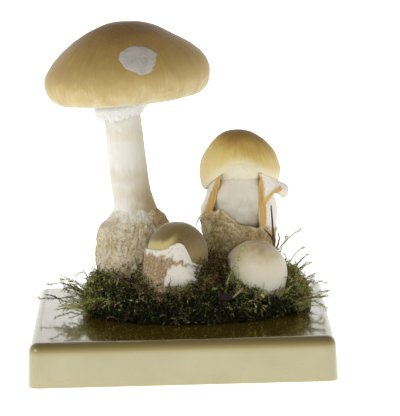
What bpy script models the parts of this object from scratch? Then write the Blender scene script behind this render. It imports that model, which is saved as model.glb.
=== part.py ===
"""Death cap display group: four fruit bodies of different ages in a moss cushion on a board.

The script works in metres with +Z up. The origin is the middle of the board's underside,
and the front of the group looks along -Y. Sizes below are millimetres, and the helpers turn
them into metres.
"""
import math
import random

import bmesh
import bpy
from mathutils import Vector, noise

MM = 0.001
GAP = 0.35          # between pieces that touch
MERGE = 0.00001     # metres, for points that fall together

# Board
BOARD_SIDE = 180.0
BOARD_HEIGHT = 26.0
BOARD_CORNER_ROUND = 7.0
BOARD_TOP_ROUND = 5.5
BOARD_DRAFT = 1.0

# Patch of soil and moss: an ellipse on the board
PATCH_PLACE = (9.0, 6.0)
PATCH_FLATTENING = 0.74     # depth of the ellipse over its width
PATCH_FLOOR = BOARD_HEIGHT + GAP
SOIL_HALF_WIDTH = 51.6
SOIL_RISE = 0.06            # towards the back, for each millimetre
MOSS_NEEDLES = 225
MOSS_SPRIGS = 22
LITTER_BITS = 54
SEED = 11

# Full-grown fruit body
TALL_PLACE = (-28.0, 17.0)
CAP_CENTRE = (-1.2, 0.0, 167.5)     # from TALL_PLACE
CAP_TILT = math.radians(3.8)        # right side up
STEM_LEAN = 0.085                   # to the left for each millimetre up
GILL_COUNT = 40
GILL_REACH = (12.2, 41.6)
SCRAP_DIRECTION = math.radians(-77)     # of the scrap of veil, round the cap's axis
SCRAP_ALONG = 46.5                      # from the cap's top to its middle, along the cap
SCRAP_HALF = (11.8, 11.0)               # across and along

# Half-grown fruit body
YOUNG_PLACE = (36.6, 27.0)
YOUNG_SHOULDER = 115.0      # above this height the cap is even all round
YOUNG_RIM = {"front": 112.4, "left": 95.4, "right": 100.5, "back": 91.0}

# Button and egg
BUTTON_PLACE = (-1.5, -20.0)
EGG_PLACE = (45.5, -14.0)

# Profiles as (radius, height), the outer side running down from the top
CAP_OUTER = [(0.0, 32.9), (10.0, 31.7), (20.0, 28.2), (29.5, 22.9), (38.0, 17.0), (44.5, 11.0),
             (48.4, 5.2), (49.8, 0.0), (49.3, -5.0), (47.3, -9.8), (44.0, -12.6)]
CAP_INNER = [(42.4, -11.2), (43.2, -5.0), (42.0, 1.0), (38.0, 8.0), (31.0, 13.8), (23.0, 18.0),
             (17.0, 19.8), (9.0, 20.0), (0.0, 20.0)]
TALL_STEM = [(9.2, 186.0), (10.1, 165.0), (10.6, 134.0), (10.8, 112.0), (11.2, 98.0),
             (12.6, 88.0), (15.2, 79.0), (18.2, 69.0), (19.6, 58.0), (18.6, 46.0), (13.0, 35.5)]
TALL_RING = [(11.9, 157.5), (14.0, 153.4), (16.2, 148.4), (17.2, 143.6), (16.2, 143.4),
             (15.1, 148.2), (12.8, 152.9), (11.1, 157.0)]
YOUNG_CAP_OUTER = [(0.0, 131.6), (6.0, 130.9), (11.5, 128.2), (16.4, 123.6), (20.6, 117.5),
                   (23.0, 111.0), (23.6, 105.5), (22.6, 99.5), (21.2, 96.0)]
YOUNG_CAP_INNER = [(19.6, 96.2), (20.6, 101.0), (20.9, 106.0), (19.4, 112.0), (15.5, 116.8),
                   (8.0, 118.4), (0.0, 118.4)]
YOUNG_STEM = [(10.2, 117.6), (10.5, 107.0), (11.6, 96.0), (13.6, 85.0), (16.0, 74.0),
              (17.2, 62.0), (16.6, 48.0), (12.0, 36.0)]
YOUNG_VOLVA_OUTER = [(20.2, 112.0), (20.6, 102.0), (21.4, 94.0), (22.9, 87.0), (23.2, 79.5),
                     (22.2, 70.0), (20.9, 58.0), (19.6, 46.0), (14.6, 33.0)]
YOUNG_VOLVA_INNER = [(20.6, 80.0), (20.8, 87.0), (19.2, 94.0), (18.3, 102.0), (18.0, 112.0)]
YOUNG_VEIL = [(16.8, 112.6), (13.6, 107.6), (11.9, 103.6), (11.0, 103.8), (11.0, 106.2),
              (12.8, 109.4), (15.8, 113.0)]
BUTTON_BODY = [(0.0, 84.0), (7.0, 82.6), (13.2, 77.8), (17.0, 70.5), (18.0, 62.5), (17.4, 53.5),
               (15.0, 44.5), (10.5, 36.5), (0.0, 33.0)]
EGG_BODY = [(0.0, 71.0), (6.5, 69.8), (12.8, 66.0), (17.2, 60.0), (18.8, 53.0), (18.0, 44.5),
            (14.8, 36.5), (9.0, 31.2), (0.0, 29.6)]
SOIL_DOME = [(0.0, 48.5), (14.0, 48.4), (27.0, 47.6), (39.0, 46.6), (48.0, 45.4)]
MOSS_RING = [(54.0, 45.6), (57.0, 45.6), (60.5, 44.4), (63.5, 41.5), (65.8, 37.5), (67.0, 32.5), (66.0, 26.35)]

# Sack walls: thickness in the belly and at the torn edge
TALL_VOLVA = {"top": 90.0, "wall": 3.2, "edge": 1.3}
BUTTON_VOLVA = {"top": 72.0, "wall": 1.5, "edge": 1.1}

# Torn edge of the button's veil: degrees from the front, round to the left, and height
BUTTON_EDGE = [(0, 70.0), (14, 76.0), (40, 73.5), (80, 70.5), (135, 66.0), (180, 63.0),
               (225, 60.0), (270, 57.0), (320, 59.5), (345, 62.0), (360, 70.0)]

# Window in the half-grown volva seen from the front, as (across, height)
WINDOW = [(-18.3, 83.0), (-8.0, 80.0), (6.0, 77.5), (15.6, 75.2), (16.4, 88.0), (18.6, 98.0),
          (14.0, 116.0), (-8.6, 116.0), (-12.6, 98.0)]

# Strands that stand out furthest, as (root, tip), and the forked twig
LONG_STRANDS = [((-56.0, 4.0, 37.0), (-86.4, 8.0, 35.4)), ((-52.0, -6.0, 38.0), (-71.6, -8.0, 47.0)),
                ((70.0, -4.0, 34.0), (82.7, -6.0, 40.0)), ((70.0, 4.0, 32.0), (88.0, 2.0, 35.5)),
                ((56.0, 33.0, 40.0), (73.4, 32.0, 69.6)), ((-40.0, -22.0, 38.0), (-66.0, -30.0, 36.0)),
                ((62.0, 20.0, 38.0), (79.0, 22.0, 50.0)), ((10.0, 45.0, 40.0), (14.0, 50.0, 63.0))]
TWIG = [((58.0, 4.0, 40.0), (56.6, 3.0, 64.0), (55.4, 3.0, 88.5)),
        ((56.9, 3.2, 66.0), (53.6, 2.2, 72.0), (51.0, 1.0, 74.5)),
        ((56.9, 3.2, 62.0), (59.4, 2.4, 68.0), (59.0, 1.6, 72.5))]


def smooth(points, samples=1):
    """A smooth curve through the points, with this many samples to each stretch."""
    ends = [points[0], *points, points[-1]]
    curve = []
    for before, start, end, after in zip(ends, ends[1:], ends[2:], ends[3:]):
        for step in range(samples):
            t = step / samples
            curve.append(tuple(
                0.5 * (2 * b + (c - a) * t + (2 * a - 5 * b + 4 * c - d) * t ** 2
                       + (3 * b - a - 3 * c + d) * t ** 3)
                for a, b, c, d in zip(before, start, end, after)))
    return curve + [points[-1]]


def filled(side):
    """Profile of a solid from its outer side: flat at the top, slightly rounded below."""
    low_radius, low_height = side[-1]
    return [(0.0, side[0][1]), *side, (0.0, low_height - low_radius * 0.2)]


def between(pairs, where):
    """Value at a place, by straight lines between (place, value) pairs."""
    pairs = sorted(pairs)
    if where <= pairs[0][0]:
        return pairs[0][1]
    for (low, first), (high, last) in zip(pairs, pairs[1:]):
        if where <= high:
            return first + (last - first) * (where - low) / max(high - low, 1e-9)
    return pairs[-1][1]


def radius_at(profile, height):
    """Radius of an outer profile at a height."""
    return between([(z, r) for r, z in profile], height)


def offset(profile, distance):
    """Outer profile moved outwards by a distance, or by distance(height)."""
    moved = []
    for i, (r, z) in enumerate(profile):
        before, after = profile[max(i - 1, 0)], profile[min(i + 1, len(profile) - 1)]
        along = Vector((after[0] - before[0], after[1] - before[1])).normalized()
        step = distance(z) if callable(distance) else distance
        if r < 1e-6:
            moved.append((0.0, z + math.copysign(step, -along.y if i else 1.0) if i == 0
                          else z - step))
        else:
            moved.append((r - along.y * step, z + along.x * step))
    return moved


def ramp(value, start, end):
    """0 before start, 1 past end, smooth between."""
    t = min(max((value - start) / (end - start), 0.0), 1.0)
    return t * t * (3 - 2 * t)


def rough(point, size, seed=0.0):
    """Even noise from -1 to 1 over lumps of a size."""
    return noise.noise(Vector(point) / size + Vector((seed, seed, seed)))


def from_front(point):
    """Degrees round the axis from the front, growing towards the left, 0 to 360."""
    return math.degrees(math.atan2(-point[0], -point[1])) % 360


def new_material(name, colour, roughness):
    """Plain surface in the piece's main colour."""
    material = bpy.data.materials.new(name)
    material.use_nodes = True
    shader = material.node_tree.nodes["Principled BSDF"]
    shader.inputs["Base Color"].default_value = (*colour, 1.0)
    shader.inputs["Roughness"].default_value = roughness
    shader.inputs["Metallic"].default_value = 0.0
    return material


def new_collection(name, hidden=False):
    """Collection in the scene. Cutters go in hidden ones."""
    collection = bpy.data.collections.new(name)
    bpy.context.scene.collection.children.link(collection)
    collection.hide_render = hidden
    return collection


def new_object(name, mesh, collection, material=None):
    """Object for a mesh, in a collection."""
    thing = bpy.data.objects.new(name, mesh)
    collection.objects.link(thing)
    if material:
        mesh.materials.append(material)
    return thing


def apply_modifiers(thing):
    """Swap the object's mesh for the one that its modifiers give."""
    graph = bpy.context.evaluated_depsgraph_get()
    mesh = bpy.data.meshes.new_from_object(thing.evaluated_get(graph))
    thing.modifiers.clear()
    thing.data = mesh


def turned(name, profile, steps, collection, material=None, closed=False):
    """Turn a profile round the Z axis. A closed one makes a ring."""
    mesh = bpy.data.meshes.new(name)
    edges = [(i, i + 1) for i in range(len(profile) - 1)]
    if closed:
        edges.append((len(profile) - 1, 0))
    mesh.from_pydata([(r * MM, 0, z * MM) for r, z in profile], edges, [])
    thing = new_object(name, mesh, collection, material)
    screw = thing.modifiers.new("turn", "SCREW")
    screw.steps = screw.render_steps = steps
    screw.use_merge_vertices = True
    screw.merge_threshold = MERGE
    apply_modifiers(thing)
    thing.data.shade_smooth()
    return thing


def reshape(thing, change):
    """Move each point of a mesh by a rule that works in millimetres."""
    for vertex in thing.data.vertices:
        vertex.co = Vector(change(vertex.co / MM)) * MM


def stand(name, place, collection, *things):
    """Empty on the board's plane that carries one fruit body."""
    empty = new_object(name, None, collection)
    empty.location = (place[0] * MM, place[1] * MM, 0)
    for thing in things:
        thing.parent = empty
    return empty


def combine(thing, others, operation):
    """Boolean with all objects of a collection, applied, with the objects then removed."""
    bpy.context.view_layer.update()
    boolean = thing.modifiers.new("combine", "BOOLEAN")
    boolean.operation = operation
    boolean.operand_type = "COLLECTION"
    boolean.collection = others
    apply_modifiers(thing)
    for other in list(others.objects):
        bpy.data.objects.remove(other)
    bpy.data.collections.remove(others)


def keep_main_body(thing):
    """Drop loose scraps and sealed hollows, which touch the main body at no edge."""
    bm = bmesh.new()
    bm.from_mesh(thing.data)
    bodies, unseen = [], set(bm.faces)
    while unseen:
        body, waiting = [], [unseen.pop()]
        while waiting:
            face = waiting.pop()
            body.append(face)
            near = {other for edge in face.edges for other in edge.link_faces} & unseen
            unseen -= near
            waiting.extend(near)
        bodies.append(body)
    bodies.sort(key=len)
    scraps = [face for body in bodies[:-1] for face in body]
    bmesh.ops.delete(bm, geom=scraps, context="FACES")
    bm.to_mesh(thing.data)
    bm.free()


def base_board(collection):
    """Moulded board: sides drawn in towards the top, rounded corners and top edge."""
    bm = bmesh.new()
    bmesh.ops.create_cube(bm, size=1.0)
    for vertex in bm.verts:
        side = BOARD_SIDE / 2 - (BOARD_DRAFT if vertex.co.z > 0 else 0.0)
        height = BOARD_HEIGHT if vertex.co.z > 0 else 0.0
        vertex.co = Vector((math.copysign(side, vertex.co.x), math.copysign(side, vertex.co.y),
                            height)) * MM
    upright = [e for e in bm.edges if abs(e.verts[0].co.z - e.verts[1].co.z) > 10 * MM]
    bmesh.ops.bevel(bm, geom=upright, offset=BOARD_CORNER_ROUND * MM, segments=4, profile=0.5,
                    affect="EDGES")
    top = [e for e in bm.edges if min(v.co.z for v in e.verts) > (BOARD_HEIGHT - 0.1) * MM]
    bmesh.ops.bevel(bm, geom=top, offset=BOARD_TOP_ROUND * MM, segments=4, profile=0.5,
                    affect="EDGES")
    mesh = bpy.data.meshes.new("base_board")
    bm.to_mesh(mesh)
    bm.free()
    return new_object("base_board", mesh, collection, new_material("board", (0.62, 0.56, 0.38), 0.3))


def lean_left(point):
    """Bend of the full-grown body's foot and stem: upright below, leaning left above."""
    height = point[2]
    across = 2.0 * ramp(height, 60, 88) - STEM_LEAN * (height - 84.0) * ramp(height, 80, 96)
    tilt = STEM_LEAN * ramp(height, 90, 110)
    return (point[0] + across, point[1], height + tilt * point[0])


def tall_cap(collection, material):
    """Full-grown cap: a humped dome over a hollow underside, fuller on its right shoulder."""
    cap = turned("tall_cap", CAP_OUTER + CAP_INNER, 40, collection, material)

    def fuller_right(point):
        radius, turn = math.hypot(point[0], point[1]), math.atan2(point[1], point[0])
        bulge = 0.028 * math.exp(-((point[2] - 13.0) / 9.0) ** 2) * ramp(radius, 26, 34)
        scale = 1 + bulge * math.cos(turn)
        return (point[0] * scale, point[1] * scale, point[2])

    reshape(cap, fuller_right)
    return cap


def tall_gills(collection, material):
    """Gills under the full-grown cap: a thin layer with a ridge for each gill."""
    inner, outer = GILL_REACH
    rows = [inner + (outer - inner) * row / 4 for row in range(5)]
    profile = [(r, 0.0) for r in rows[::2]] + [(r, -1.0) for r in reversed(rows)]
    gills = turned("tall_gills", profile, 2 * GILL_COUNT, collection, material, closed=True)
    underside = CAP_INNER[1:]
    stem_offset = -6.0

    def hang(point):
        radius, turn = math.hypot(point[0], point[1]), math.atan2(point[1], point[0])
        inwards = (outer - radius) / (outer - inner)
        x, y = point[0] + stem_offset * inwards, point[1]
        ceiling = between(underside, math.hypot(x, y)) - 2 * GAP
        ridge = round(turn / math.pi * GILL_COUNT) % 2
        depth = 1.2 + ridge * (2.5 + 6.0 * ramp(inwards, 0.0, 0.4) - 2.5 * ramp(inwards, 0.6, 1.0))
        return (x, y, ceiling - (depth if point[2] < -0.5 else 0.0))

    reshape(gills, hang)
    return gills


def tall_foot():
    """Outer profile of the full-grown stem, with more samples in its foot."""
    return filled(TALL_STEM[:5] + smooth(TALL_STEM[5:], 2))


def tall_stem(collection, material):
    """Stem of the full-grown body, with its swollen foot."""
    stem = turned("tall_stem", tall_foot(), 24, collection, material)
    reshape(stem, lean_left)
    return stem


def tall_ring(collection, material):
    """Skirt of torn veil that hangs close under the cap."""
    ring = turned("tall_ring", TALL_RING, 26, collection, material, closed=True)

    def torn(point):
        low = ramp(point[2], 152, 144)
        ragged = low * (1.6 * rough((point[0], point[1], 0), 5.0) + 1.2 * point[0] / 16.0)
        flare = 1 + low * 0.05 * rough((point[0], point[1], 9), 9.0)
        return lean_left((point[0] * flare - 2.6 * low, point[1] * flare, point[2] + ragged))

    reshape(ring, torn)
    return ring


def sack_profile(inside, top, wall, edge):
    """Profile of a sack that fits the outer profile inside it, up to a height."""
    inner = offset([p for p in inside if p[1] <= top], GAP)
    outer = offset(inner, lambda z: edge + (wall - edge) * ramp(z, top, top - 14))
    return inner[::-1] + outer


def tall_volva(collection, material):
    """Granular sack that clasps the foot of the full-grown stem, with a ragged edge."""
    size = TALL_VOLVA
    foot = tall_foot()
    inner = offset(foot, GAP)
    volva = turned("tall_volva", sack_profile(foot, size["top"], size["wall"], size["edge"]), 24,
                   collection, material)

    def weathered(point):
        turn = math.atan2(point[1], point[0])
        radius, height = math.hypot(point[0], point[1]), point[2]
        thick = radius - radius_at(inner, height)
        drop = ramp(height, 74, size["top"]) * (2.5 + 3.5 * rough((point[0], point[1], 0), 6.0))
        lumps = 0.9 * rough(point, 4.5) * ramp(height, 52, 58) if thick > 0.6 else 0.0
        right = 2.2 * ramp(height, 66, 78) * max(math.cos(turn), 0.0) if thick > 0.6 else 0.0
        radius = radius_at(inner, height - drop) + thick + lumps + right
        return lean_left((radius * math.cos(turn), radius * math.sin(turn), height - drop))

    reshape(volva, weathered)
    return volva


def along_cap(distance):
    """Point and outward normal on the cap's outer profile, this far from its top."""
    for start, end in zip(CAP_OUTER, CAP_OUTER[1:]):
        step = Vector(end) - Vector(start)
        if distance <= step.length:
            return Vector(start) + step * distance / step.length, Vector((-step.y, step.x)).normalized()
        distance -= step.length
    return Vector(CAP_OUTER[-1]), Vector((1.0, 0.0))


def tall_veil_patch(collection, material):
    """Scrap of veil stuck to the front of the full-grown cap."""
    profile = [(0.0, 0.9), (0.45, 0.9), (0.8, 0.8), (1.0, 0.0), (0.45, 0.0), (0.0, 0.0)]
    patch = turned("tall_veil_patch", profile, 22, collection, material)
    across, along = SCRAP_HALF

    def stick(point):
        ragged = 1 + 0.14 * rough(Vector(point[:2]).normalized().to_3d() * 3, 1.0, 5.0)
        down = SCRAP_ALONG - along * ragged * point[1]
        spot, normal = along_cap(down)
        spot = spot + normal * (2 * GAP + point[2])
        turn = SCRAP_DIRECTION + across * ragged * point[0] / spot.x
        return (spot.x * math.cos(turn), spot.x * math.sin(turn), spot.y)

    reshape(patch, stick)
    return patch


def tall_body(collection):
    """The full-grown fruit body."""
    pale = new_material("stem_white", (0.70, 0.66, 0.58), 0.6)
    crown = [tall_cap(collection, new_material("cap_olive", (0.36, 0.25, 0.08), 0.35)),
             tall_gills(collection, new_material("gills_white", (0.78, 0.74, 0.64), 0.7)),
             tall_veil_patch(collection, new_material("veil_grey", (0.50, 0.47, 0.42), 0.8))]
    tilt = new_object("tall_cap_place", None, collection)
    tilt.location = Vector(CAP_CENTRE) * MM
    tilt.rotation_euler.y = -CAP_TILT
    for piece in crown:
        piece.parent = tilt
    stand("tall_place", TALL_PLACE, collection, tilt, tall_stem(collection, pale),
          tall_ring(collection, new_material("ring_white", (0.78, 0.75, 0.70), 0.7)),
          tall_volva(collection, new_material("volva_beige", (0.46, 0.38, 0.28), 0.9)))


def young_rim(point):
    """Height of the half-grown cap's rim: arched up in front, lowest at the back."""
    turn = math.radians(from_front(point))
    aside, ahead = math.sin(turn), math.cos(turn)
    side = YOUNG_RIM["left"] if aside > 0 else YOUNG_RIM["right"]
    if ahead > 0:
        return YOUNG_RIM["front"] + (side - YOUNG_RIM["front"]) * abs(aside) ** 1.6
    return side + (YOUNG_RIM["back"] - side) * ramp(-ahead, 0.0, 1.0)


def young_cap(collection, material):
    """Half-grown cap: a bell with its rim arched up in front."""
    cap = turned("young_cap", YOUNG_CAP_OUTER + YOUNG_CAP_INNER, 30, collection, material)
    depth = YOUNG_SHOULDER - YOUNG_CAP_OUTER[-1][1]

    def arched(point):
        below = YOUNG_SHOULDER - point[2]
        if below <= 0:
            return point
        height = YOUNG_SHOULDER - below * (YOUNG_SHOULDER - young_rim(point)) / depth
        right = 1 + 0.05 * ramp(point[0], 0, 22) * ramp(below, 0, 12)
        return (point[0] * right, point[1], height)

    reshape(cap, arched)
    return cap


def young_volva(collection, material):
    """Sack of the half-grown body, up to the cap's rim, with a window torn in its front."""
    foot = offset(filled(YOUNG_STEM), GAP)
    inner = [p for p in foot if p[1] < 64][::-1] + YOUNG_VOLVA_INNER
    outer = YOUNG_VOLVA_OUTER + [(0.0, 30.0)]
    volva = turned("young_volva", inner + outer, 28, collection, material)
    full, even = YOUNG_VOLVA_OUTER[0][1], 84.0

    def up_to_rim(point):
        radius, turn = math.hypot(point[0], point[1]), math.atan2(point[1], point[0])
        outside = radius > 0.5 * (radius_at(YOUNG_VOLVA_OUTER, point[2])
                                  + radius_at(inner, point[2]))
        height = point[2]
        if height > even:
            top = young_rim(point) - 2 * GAP - 0.8
            height = even + (height - even) * (top - even) / (full - even)
        if outside and height > 52:
            radius += 0.9 * rough(point, 6.0) * ramp(height, 52, 58)
        return (radius * math.cos(turn), radius * math.sin(turn), height)

    reshape(volva, up_to_rim)
    cutters = new_collection("young_window", hidden=True)
    window = bpy.data.curves.new("window", "CURVE")
    window.dimensions, window.fill_mode = "2D", "BOTH"
    window.extrude = 15 * MM
    outline = window.splines.new("POLY")
    outline.points.add(len(WINDOW) - 1)
    outline.use_cyclic_u = True
    for spot, (across, height) in zip(outline.points, WINDOW):
        spot.co = (across * MM, height * MM, 0, 1)
    cutter = as_mesh(new_object("window", window, cutters), cutters)
    cutter.rotation_euler.x = math.radians(90)
    cutter.location.y = -16 * MM
    mark_as_cutter(cutter)
    combine(volva, cutters, "DIFFERENCE")
    keep_main_body(volva)
    return volva


def as_mesh(curve, collection):
    """Mesh object in place of a curve object, with its caps welded on."""
    graph = bpy.context.evaluated_depsgraph_get()
    mesh = bpy.data.meshes.new_from_object(curve.evaluated_get(graph))
    solid = new_object(curve.name, mesh, collection)
    solid.matrix_world = curve.matrix_world
    bpy.data.objects.remove(curve)
    bm = bmesh.new()
    bm.from_mesh(mesh)
    bmesh.ops.remove_doubles(bm, verts=bm.verts, dist=MERGE)
    bm.to_mesh(mesh)
    bm.free()
    return solid


def mark_as_cutter(thing):
    """Show a cutter as wire and keep it out of renders."""
    thing.hide_render = True
    thing.display_type = "WIRE"
    return thing


def young_flap(collection):
    """Torn flap turned out at the right of the half-grown volva."""
    bm = bmesh.new()
    bmesh.ops.create_uvsphere(bm, u_segments=12, v_segments=8, radius=1.0)
    for vertex in bm.verts:
        torn = 1 + 0.3 * rough((vertex.co.x, 0, vertex.co.z), 0.45, 4.0)
        root = ramp(-vertex.co.x, -0.2, 0.9)
        place = Vector((vertex.co.x * 6.8 * torn, vertex.co.y * (1.5 + 1.2 * root),
                        vertex.co.z * (6.2 * torn + 2.5 * root)))
        place += Vector((24.0, -7.6 - 0.35 * place.x, 94.4))
        vertex.co = place * MM
    mesh = bpy.data.meshes.new("flap")
    bm.to_mesh(mesh)
    bm.free()
    return new_object("flap", mesh, collection)


def young_body(collection):
    """The half-grown fruit body."""
    cap = young_cap(collection, new_material("young_olive", (0.48, 0.34, 0.10), 0.35))
    stem = turned("young_stem", filled(YOUNG_STEM), 28, collection,
                  new_material("young_stem_pale", (0.60, 0.56, 0.47), 0.5))
    reshape(stem, lambda p: (p[0] + 1.5 * ramp(p[2], 86, 104), p[1], p[2]))
    veil = turned("young_veil", YOUNG_VEIL, 28, collection,
                  new_material("young_veil_cream", (0.68, 0.60, 0.42), 0.5), closed=True)
    reshape(veil, lambda p: (p[0] + 1.5, p[1], p[2]))
    volva = young_volva(collection, new_material("young_volva_white", (0.56, 0.50, 0.40), 0.8))
    flaps = new_collection("young_flaps")
    young_flap(flaps)
    combine(volva, flaps, "UNION")
    keep_main_body(volva)
    stand("young_place", YOUNG_PLACE, collection, cap, stem, veil, volva)


def button_body(collection):
    """The button: an olive dome with torn white veil round its lower half."""
    body = smooth(BUTTON_BODY, 2)
    cap = turned("button_cap", body, 24, collection,
                 new_material("button_olive", (0.30, 0.24, 0.12), 0.35))
    size = BUTTON_VOLVA
    inner = offset(body, 2.2 * GAP)
    volva = turned("button_volva", sack_profile(offset(body, 1.2 * GAP), size["top"], size["wall"],
                                                size["edge"]), 24, collection,
                   new_material("button_veil", (0.62, 0.57, 0.50), 0.8))
    even = 50.0

    def torn(point):
        turn = math.atan2(point[1], point[0])
        radius, height = math.hypot(point[0], point[1]), point[2]
        thick = radius - radius_at(inner, height)
        if height > even:
            edge = between(BUTTON_EDGE, from_front(point)) + 1.2 * rough(
                (point[0], point[1], 3), 3.0)
            height = even + (height - even) * (edge - even) / (size["top"] - even)
        lumps = 0.5 * rough(point, 4.0) * ramp(height, 52, 58) if thick > 0.5 else 0.0
        radius = radius_at(inner, height) + thick + lumps
        return (radius * math.cos(turn), radius * math.sin(turn), height)

    reshape(volva, torn)
    stand("button_place", BUTTON_PLACE, collection, cap, volva)


def egg(collection):
    """The egg: a fruit body still closed in its veil."""
    thing = turned("egg", EGG_BODY, 28, collection,
                   new_material("egg_cream", (0.66, 0.60, 0.48), 0.45))
    stand("egg_place", EGG_PLACE, collection, thing)


def sockets(name):
    """Cutters a little larger than what stands in the soil."""
    cutters = new_collection(name, hidden=True)

    def clear(height):
        return GAP + 1.6 * ramp(height, 49, 54)

    tall = sack_profile(tall_foot(), 84.0, TALL_VOLVA["wall"], TALL_VOLVA["wall"])
    tall = tall[len(tall) // 2:]
    button = offset(smooth(BUTTON_BODY, 2), 2.2 * GAP + BUTTON_VOLVA["wall"])
    outlines = {"tall": (tall, TALL_PLACE, 24), "egg": (EGG_BODY, EGG_PLACE, 28),
                "button": (button, BUTTON_PLACE, 24),
                "young": (YOUNG_VOLVA_OUTER + [(0.0, 30.0)], YOUNG_PLACE, 28)}
    for label, (outline, place, steps) in outlines.items():
        outline = offset(outline, clear)
        if outline[0][0] > 0:
            outline = [(0.0, outline[0][1]), *outline]
        cutter = turned(f"{name}_{label}", outline, steps, cutters)
        reshape(cutter, lambda p, at=place: (p[0] + at[0], p[1] + at[1], p[2]))
        mark_as_cutter(cutter)
    return cutters


def on_patch(point, lumps=0.0, size=9.0):
    """Place a point of a turned form on the patch: flattened, rising to the back, and lumpy."""
    x, y = point[0] + PATCH_PLACE[0], point[1] * PATCH_FLATTENING + PATCH_PLACE[1]
    height = point[2]
    if height > PATCH_FLOOR + 1:
        height += (SOIL_RISE * y + lumps * rough((x, y, height), size)) * ramp(height, 30, 40)
    return (x, y, height)


def needle(name, path, radius, collection):
    """Three-sided needle along a path, tapering to a point."""
    bm = bmesh.new()
    along = (Vector(path[-1]) - Vector(path[0])).normalized()
    side = along.orthogonal().normalized()
    rings = []
    for i, spot in enumerate(path[:-1]):
        width = radius * (1 - 0.55 * i / (len(path) - 1))
        turned_side = [side * math.cos(a) + along.cross(side) * math.sin(a)
                       for a in (0, math.tau / 3, 2 * math.tau / 3)]
        rings.append([bm.verts.new((Vector(spot) + s * width) * MM) for s in turned_side])
    tip = bm.verts.new(Vector(path[-1]) * MM)
    bm.faces.new(rings[0][::-1])
    for low, high in zip(rings, rings[1:]):
        for i in range(3):
            bm.faces.new((low[i], low[(i + 1) % 3], high[(i + 1) % 3], high[i]))
    for i in range(3):
        bm.faces.new((rings[-1][i], rings[-1][(i + 1) % 3], tip))
    mesh = bpy.data.meshes.new(name)
    bm.to_mesh(mesh)
    bm.free()
    return new_object(name, mesh, collection)


def in_board(spot, margin=2.0):
    """A point held inside the board's outline."""
    limit = BOARD_SIDE / 2 - margin
    return Vector((max(-limit, min(limit, spot[0])), max(-limit, min(limit, spot[1])), spot[2]))


def away_from_fungi(x, y):
    """Direction on the board that leads away from the nearest fruit body, and the distance."""
    feet = [(TALL_PLACE, 24.5), (YOUNG_PLACE, 24.5), (BUTTON_PLACE, 20.5), (EGG_PLACE, 19.5)]
    gaps = [(math.hypot(x - at[0], y - at[1]) - reach, Vector((x - at[0], y - at[1], 0)))
            for at, reach in feet]
    distance, direction = min(gaps, key=lambda pair: pair[0])
    return distance, direction.normalized()


def moss_spot(draw, low=0.0):
    """Place on the moss cushion, with its outward direction: any height above a share."""
    ring = smooth(MOSS_RING, 3)
    turn = draw.uniform(0, math.tau)
    index = 1 + int((len(ring) - 4) * draw.random() * (1 - low))
    before, after = Vector(ring[index - 1]), Vector(ring[index + 1])
    slope = (after - before).normalized()
    outwards = Vector((-slope.y * math.cos(turn), -slope.y * math.sin(turn), slope.x))
    radius, height = ring[index]
    spot = on_patch((radius * math.cos(turn), radius * math.sin(turn), height))
    aside = Vector((-math.sin(turn), math.cos(turn), 0))
    return Vector(spot), outwards, aside


def moss_needles(draw, sprigs):
    """Short straight leaves all over the cushion."""
    for _ in range(MOSS_NEEDLES):
        root, outwards, aside = moss_spot(draw)
        distance, away = away_from_fungi(root.x, root.y)
        course = outwards * 0.7 + aside * draw.uniform(-0.9, 0.9) + Vector((0, 0, draw.uniform(0, 0.7)))
        if distance < 5.0:
            course += away * 0.7
        course.normalize()
        tip = in_board(root + course * draw.uniform(6.0, 11.0))
        needle("needle", (root - course * 3.0, tip), draw.uniform(1.0, 1.4), sprigs)


def moss_sprigs(draw, sprigs):
    """Longer bent sprigs with side leaves."""
    for _ in range(MOSS_SPRIGS):
        root, outwards, aside = moss_spot(draw, 0.3)
        distance, away = away_from_fungi(root.x, root.y)
        course = outwards * 0.5 + aside * draw.uniform(-0.5, 0.5) + Vector((0, 0, draw.uniform(0.3, 0.9)))
        if distance < 5.0:
            course += away * 0.6
        course.normalize()
        length = draw.uniform(12.0, 18.0)
        tip = in_board(root + course * length + outwards * 3.0 - Vector((0, 0, 2.0)))
        middle = in_board(root + course * length * 0.55)
        needle("sprig", (root - course * 3.0, middle, tip), 0.9, sprigs)
        for share, sign in ((0.45, 1), (0.7, -1)):
            fork = root.lerp(middle, share * 1.4)
            leaf = (course * 0.6 + aside * sign * 0.8).normalized()
            needle("leaf", (fork - leaf * 0.5, fork + leaf * draw.uniform(3.5, 5.5)), 0.7, sprigs)


def moss(collection):
    """Cushion of moss round the soil, with sprigs that stand out of it on all sides."""
    wall = SOIL_HALF_WIDTH + GAP / PATCH_FLATTENING
    profile = [(wall, 45.0), *MOSS_RING, (wall, PATCH_FLOOR)]
    green = new_material("moss_green", (0.06, 0.08, 0.02), 0.9)
    cushion = turned("moss", profile, 60, collection, green, closed=True)

    def tufted(point):
        if math.hypot(point[0], point[1]) < wall + 1:
            return on_patch(point)
        swell = 1 + 0.035 * rough(point, 3.5, 2.0) * ramp(point[2], 27, 31)
        return on_patch((point[0] * swell, point[1] * swell, point[2]), 4.5, 5.0)

    reshape(cushion, tufted)
    sprigs = new_collection("sprigs")
    draw = random.Random(SEED)
    moss_needles(draw, sprigs)
    moss_sprigs(draw, sprigs)
    for root, tip in LONG_STRANDS:
        middle = Vector(root).lerp(Vector(tip), 0.5) + Vector((0, 0, 1.5))
        needle("strand", (root, middle, tip), 0.8, sprigs)
    combine(cushion, sprigs, "UNION")
    cutters = sockets("moss_sockets")
    middle = turned("middle", filled([(wall - 0.15, 90.0), (wall - 0.15, 25.0)]), 60, cutters)
    reshape(middle, lambda p: on_patch((p[0], p[1], 0))[:2] + (p[2],))
    mark_as_cutter(middle)
    combine(cushion, cutters, "DIFFERENCE")
    keep_main_body(cushion)
    return cushion


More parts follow.
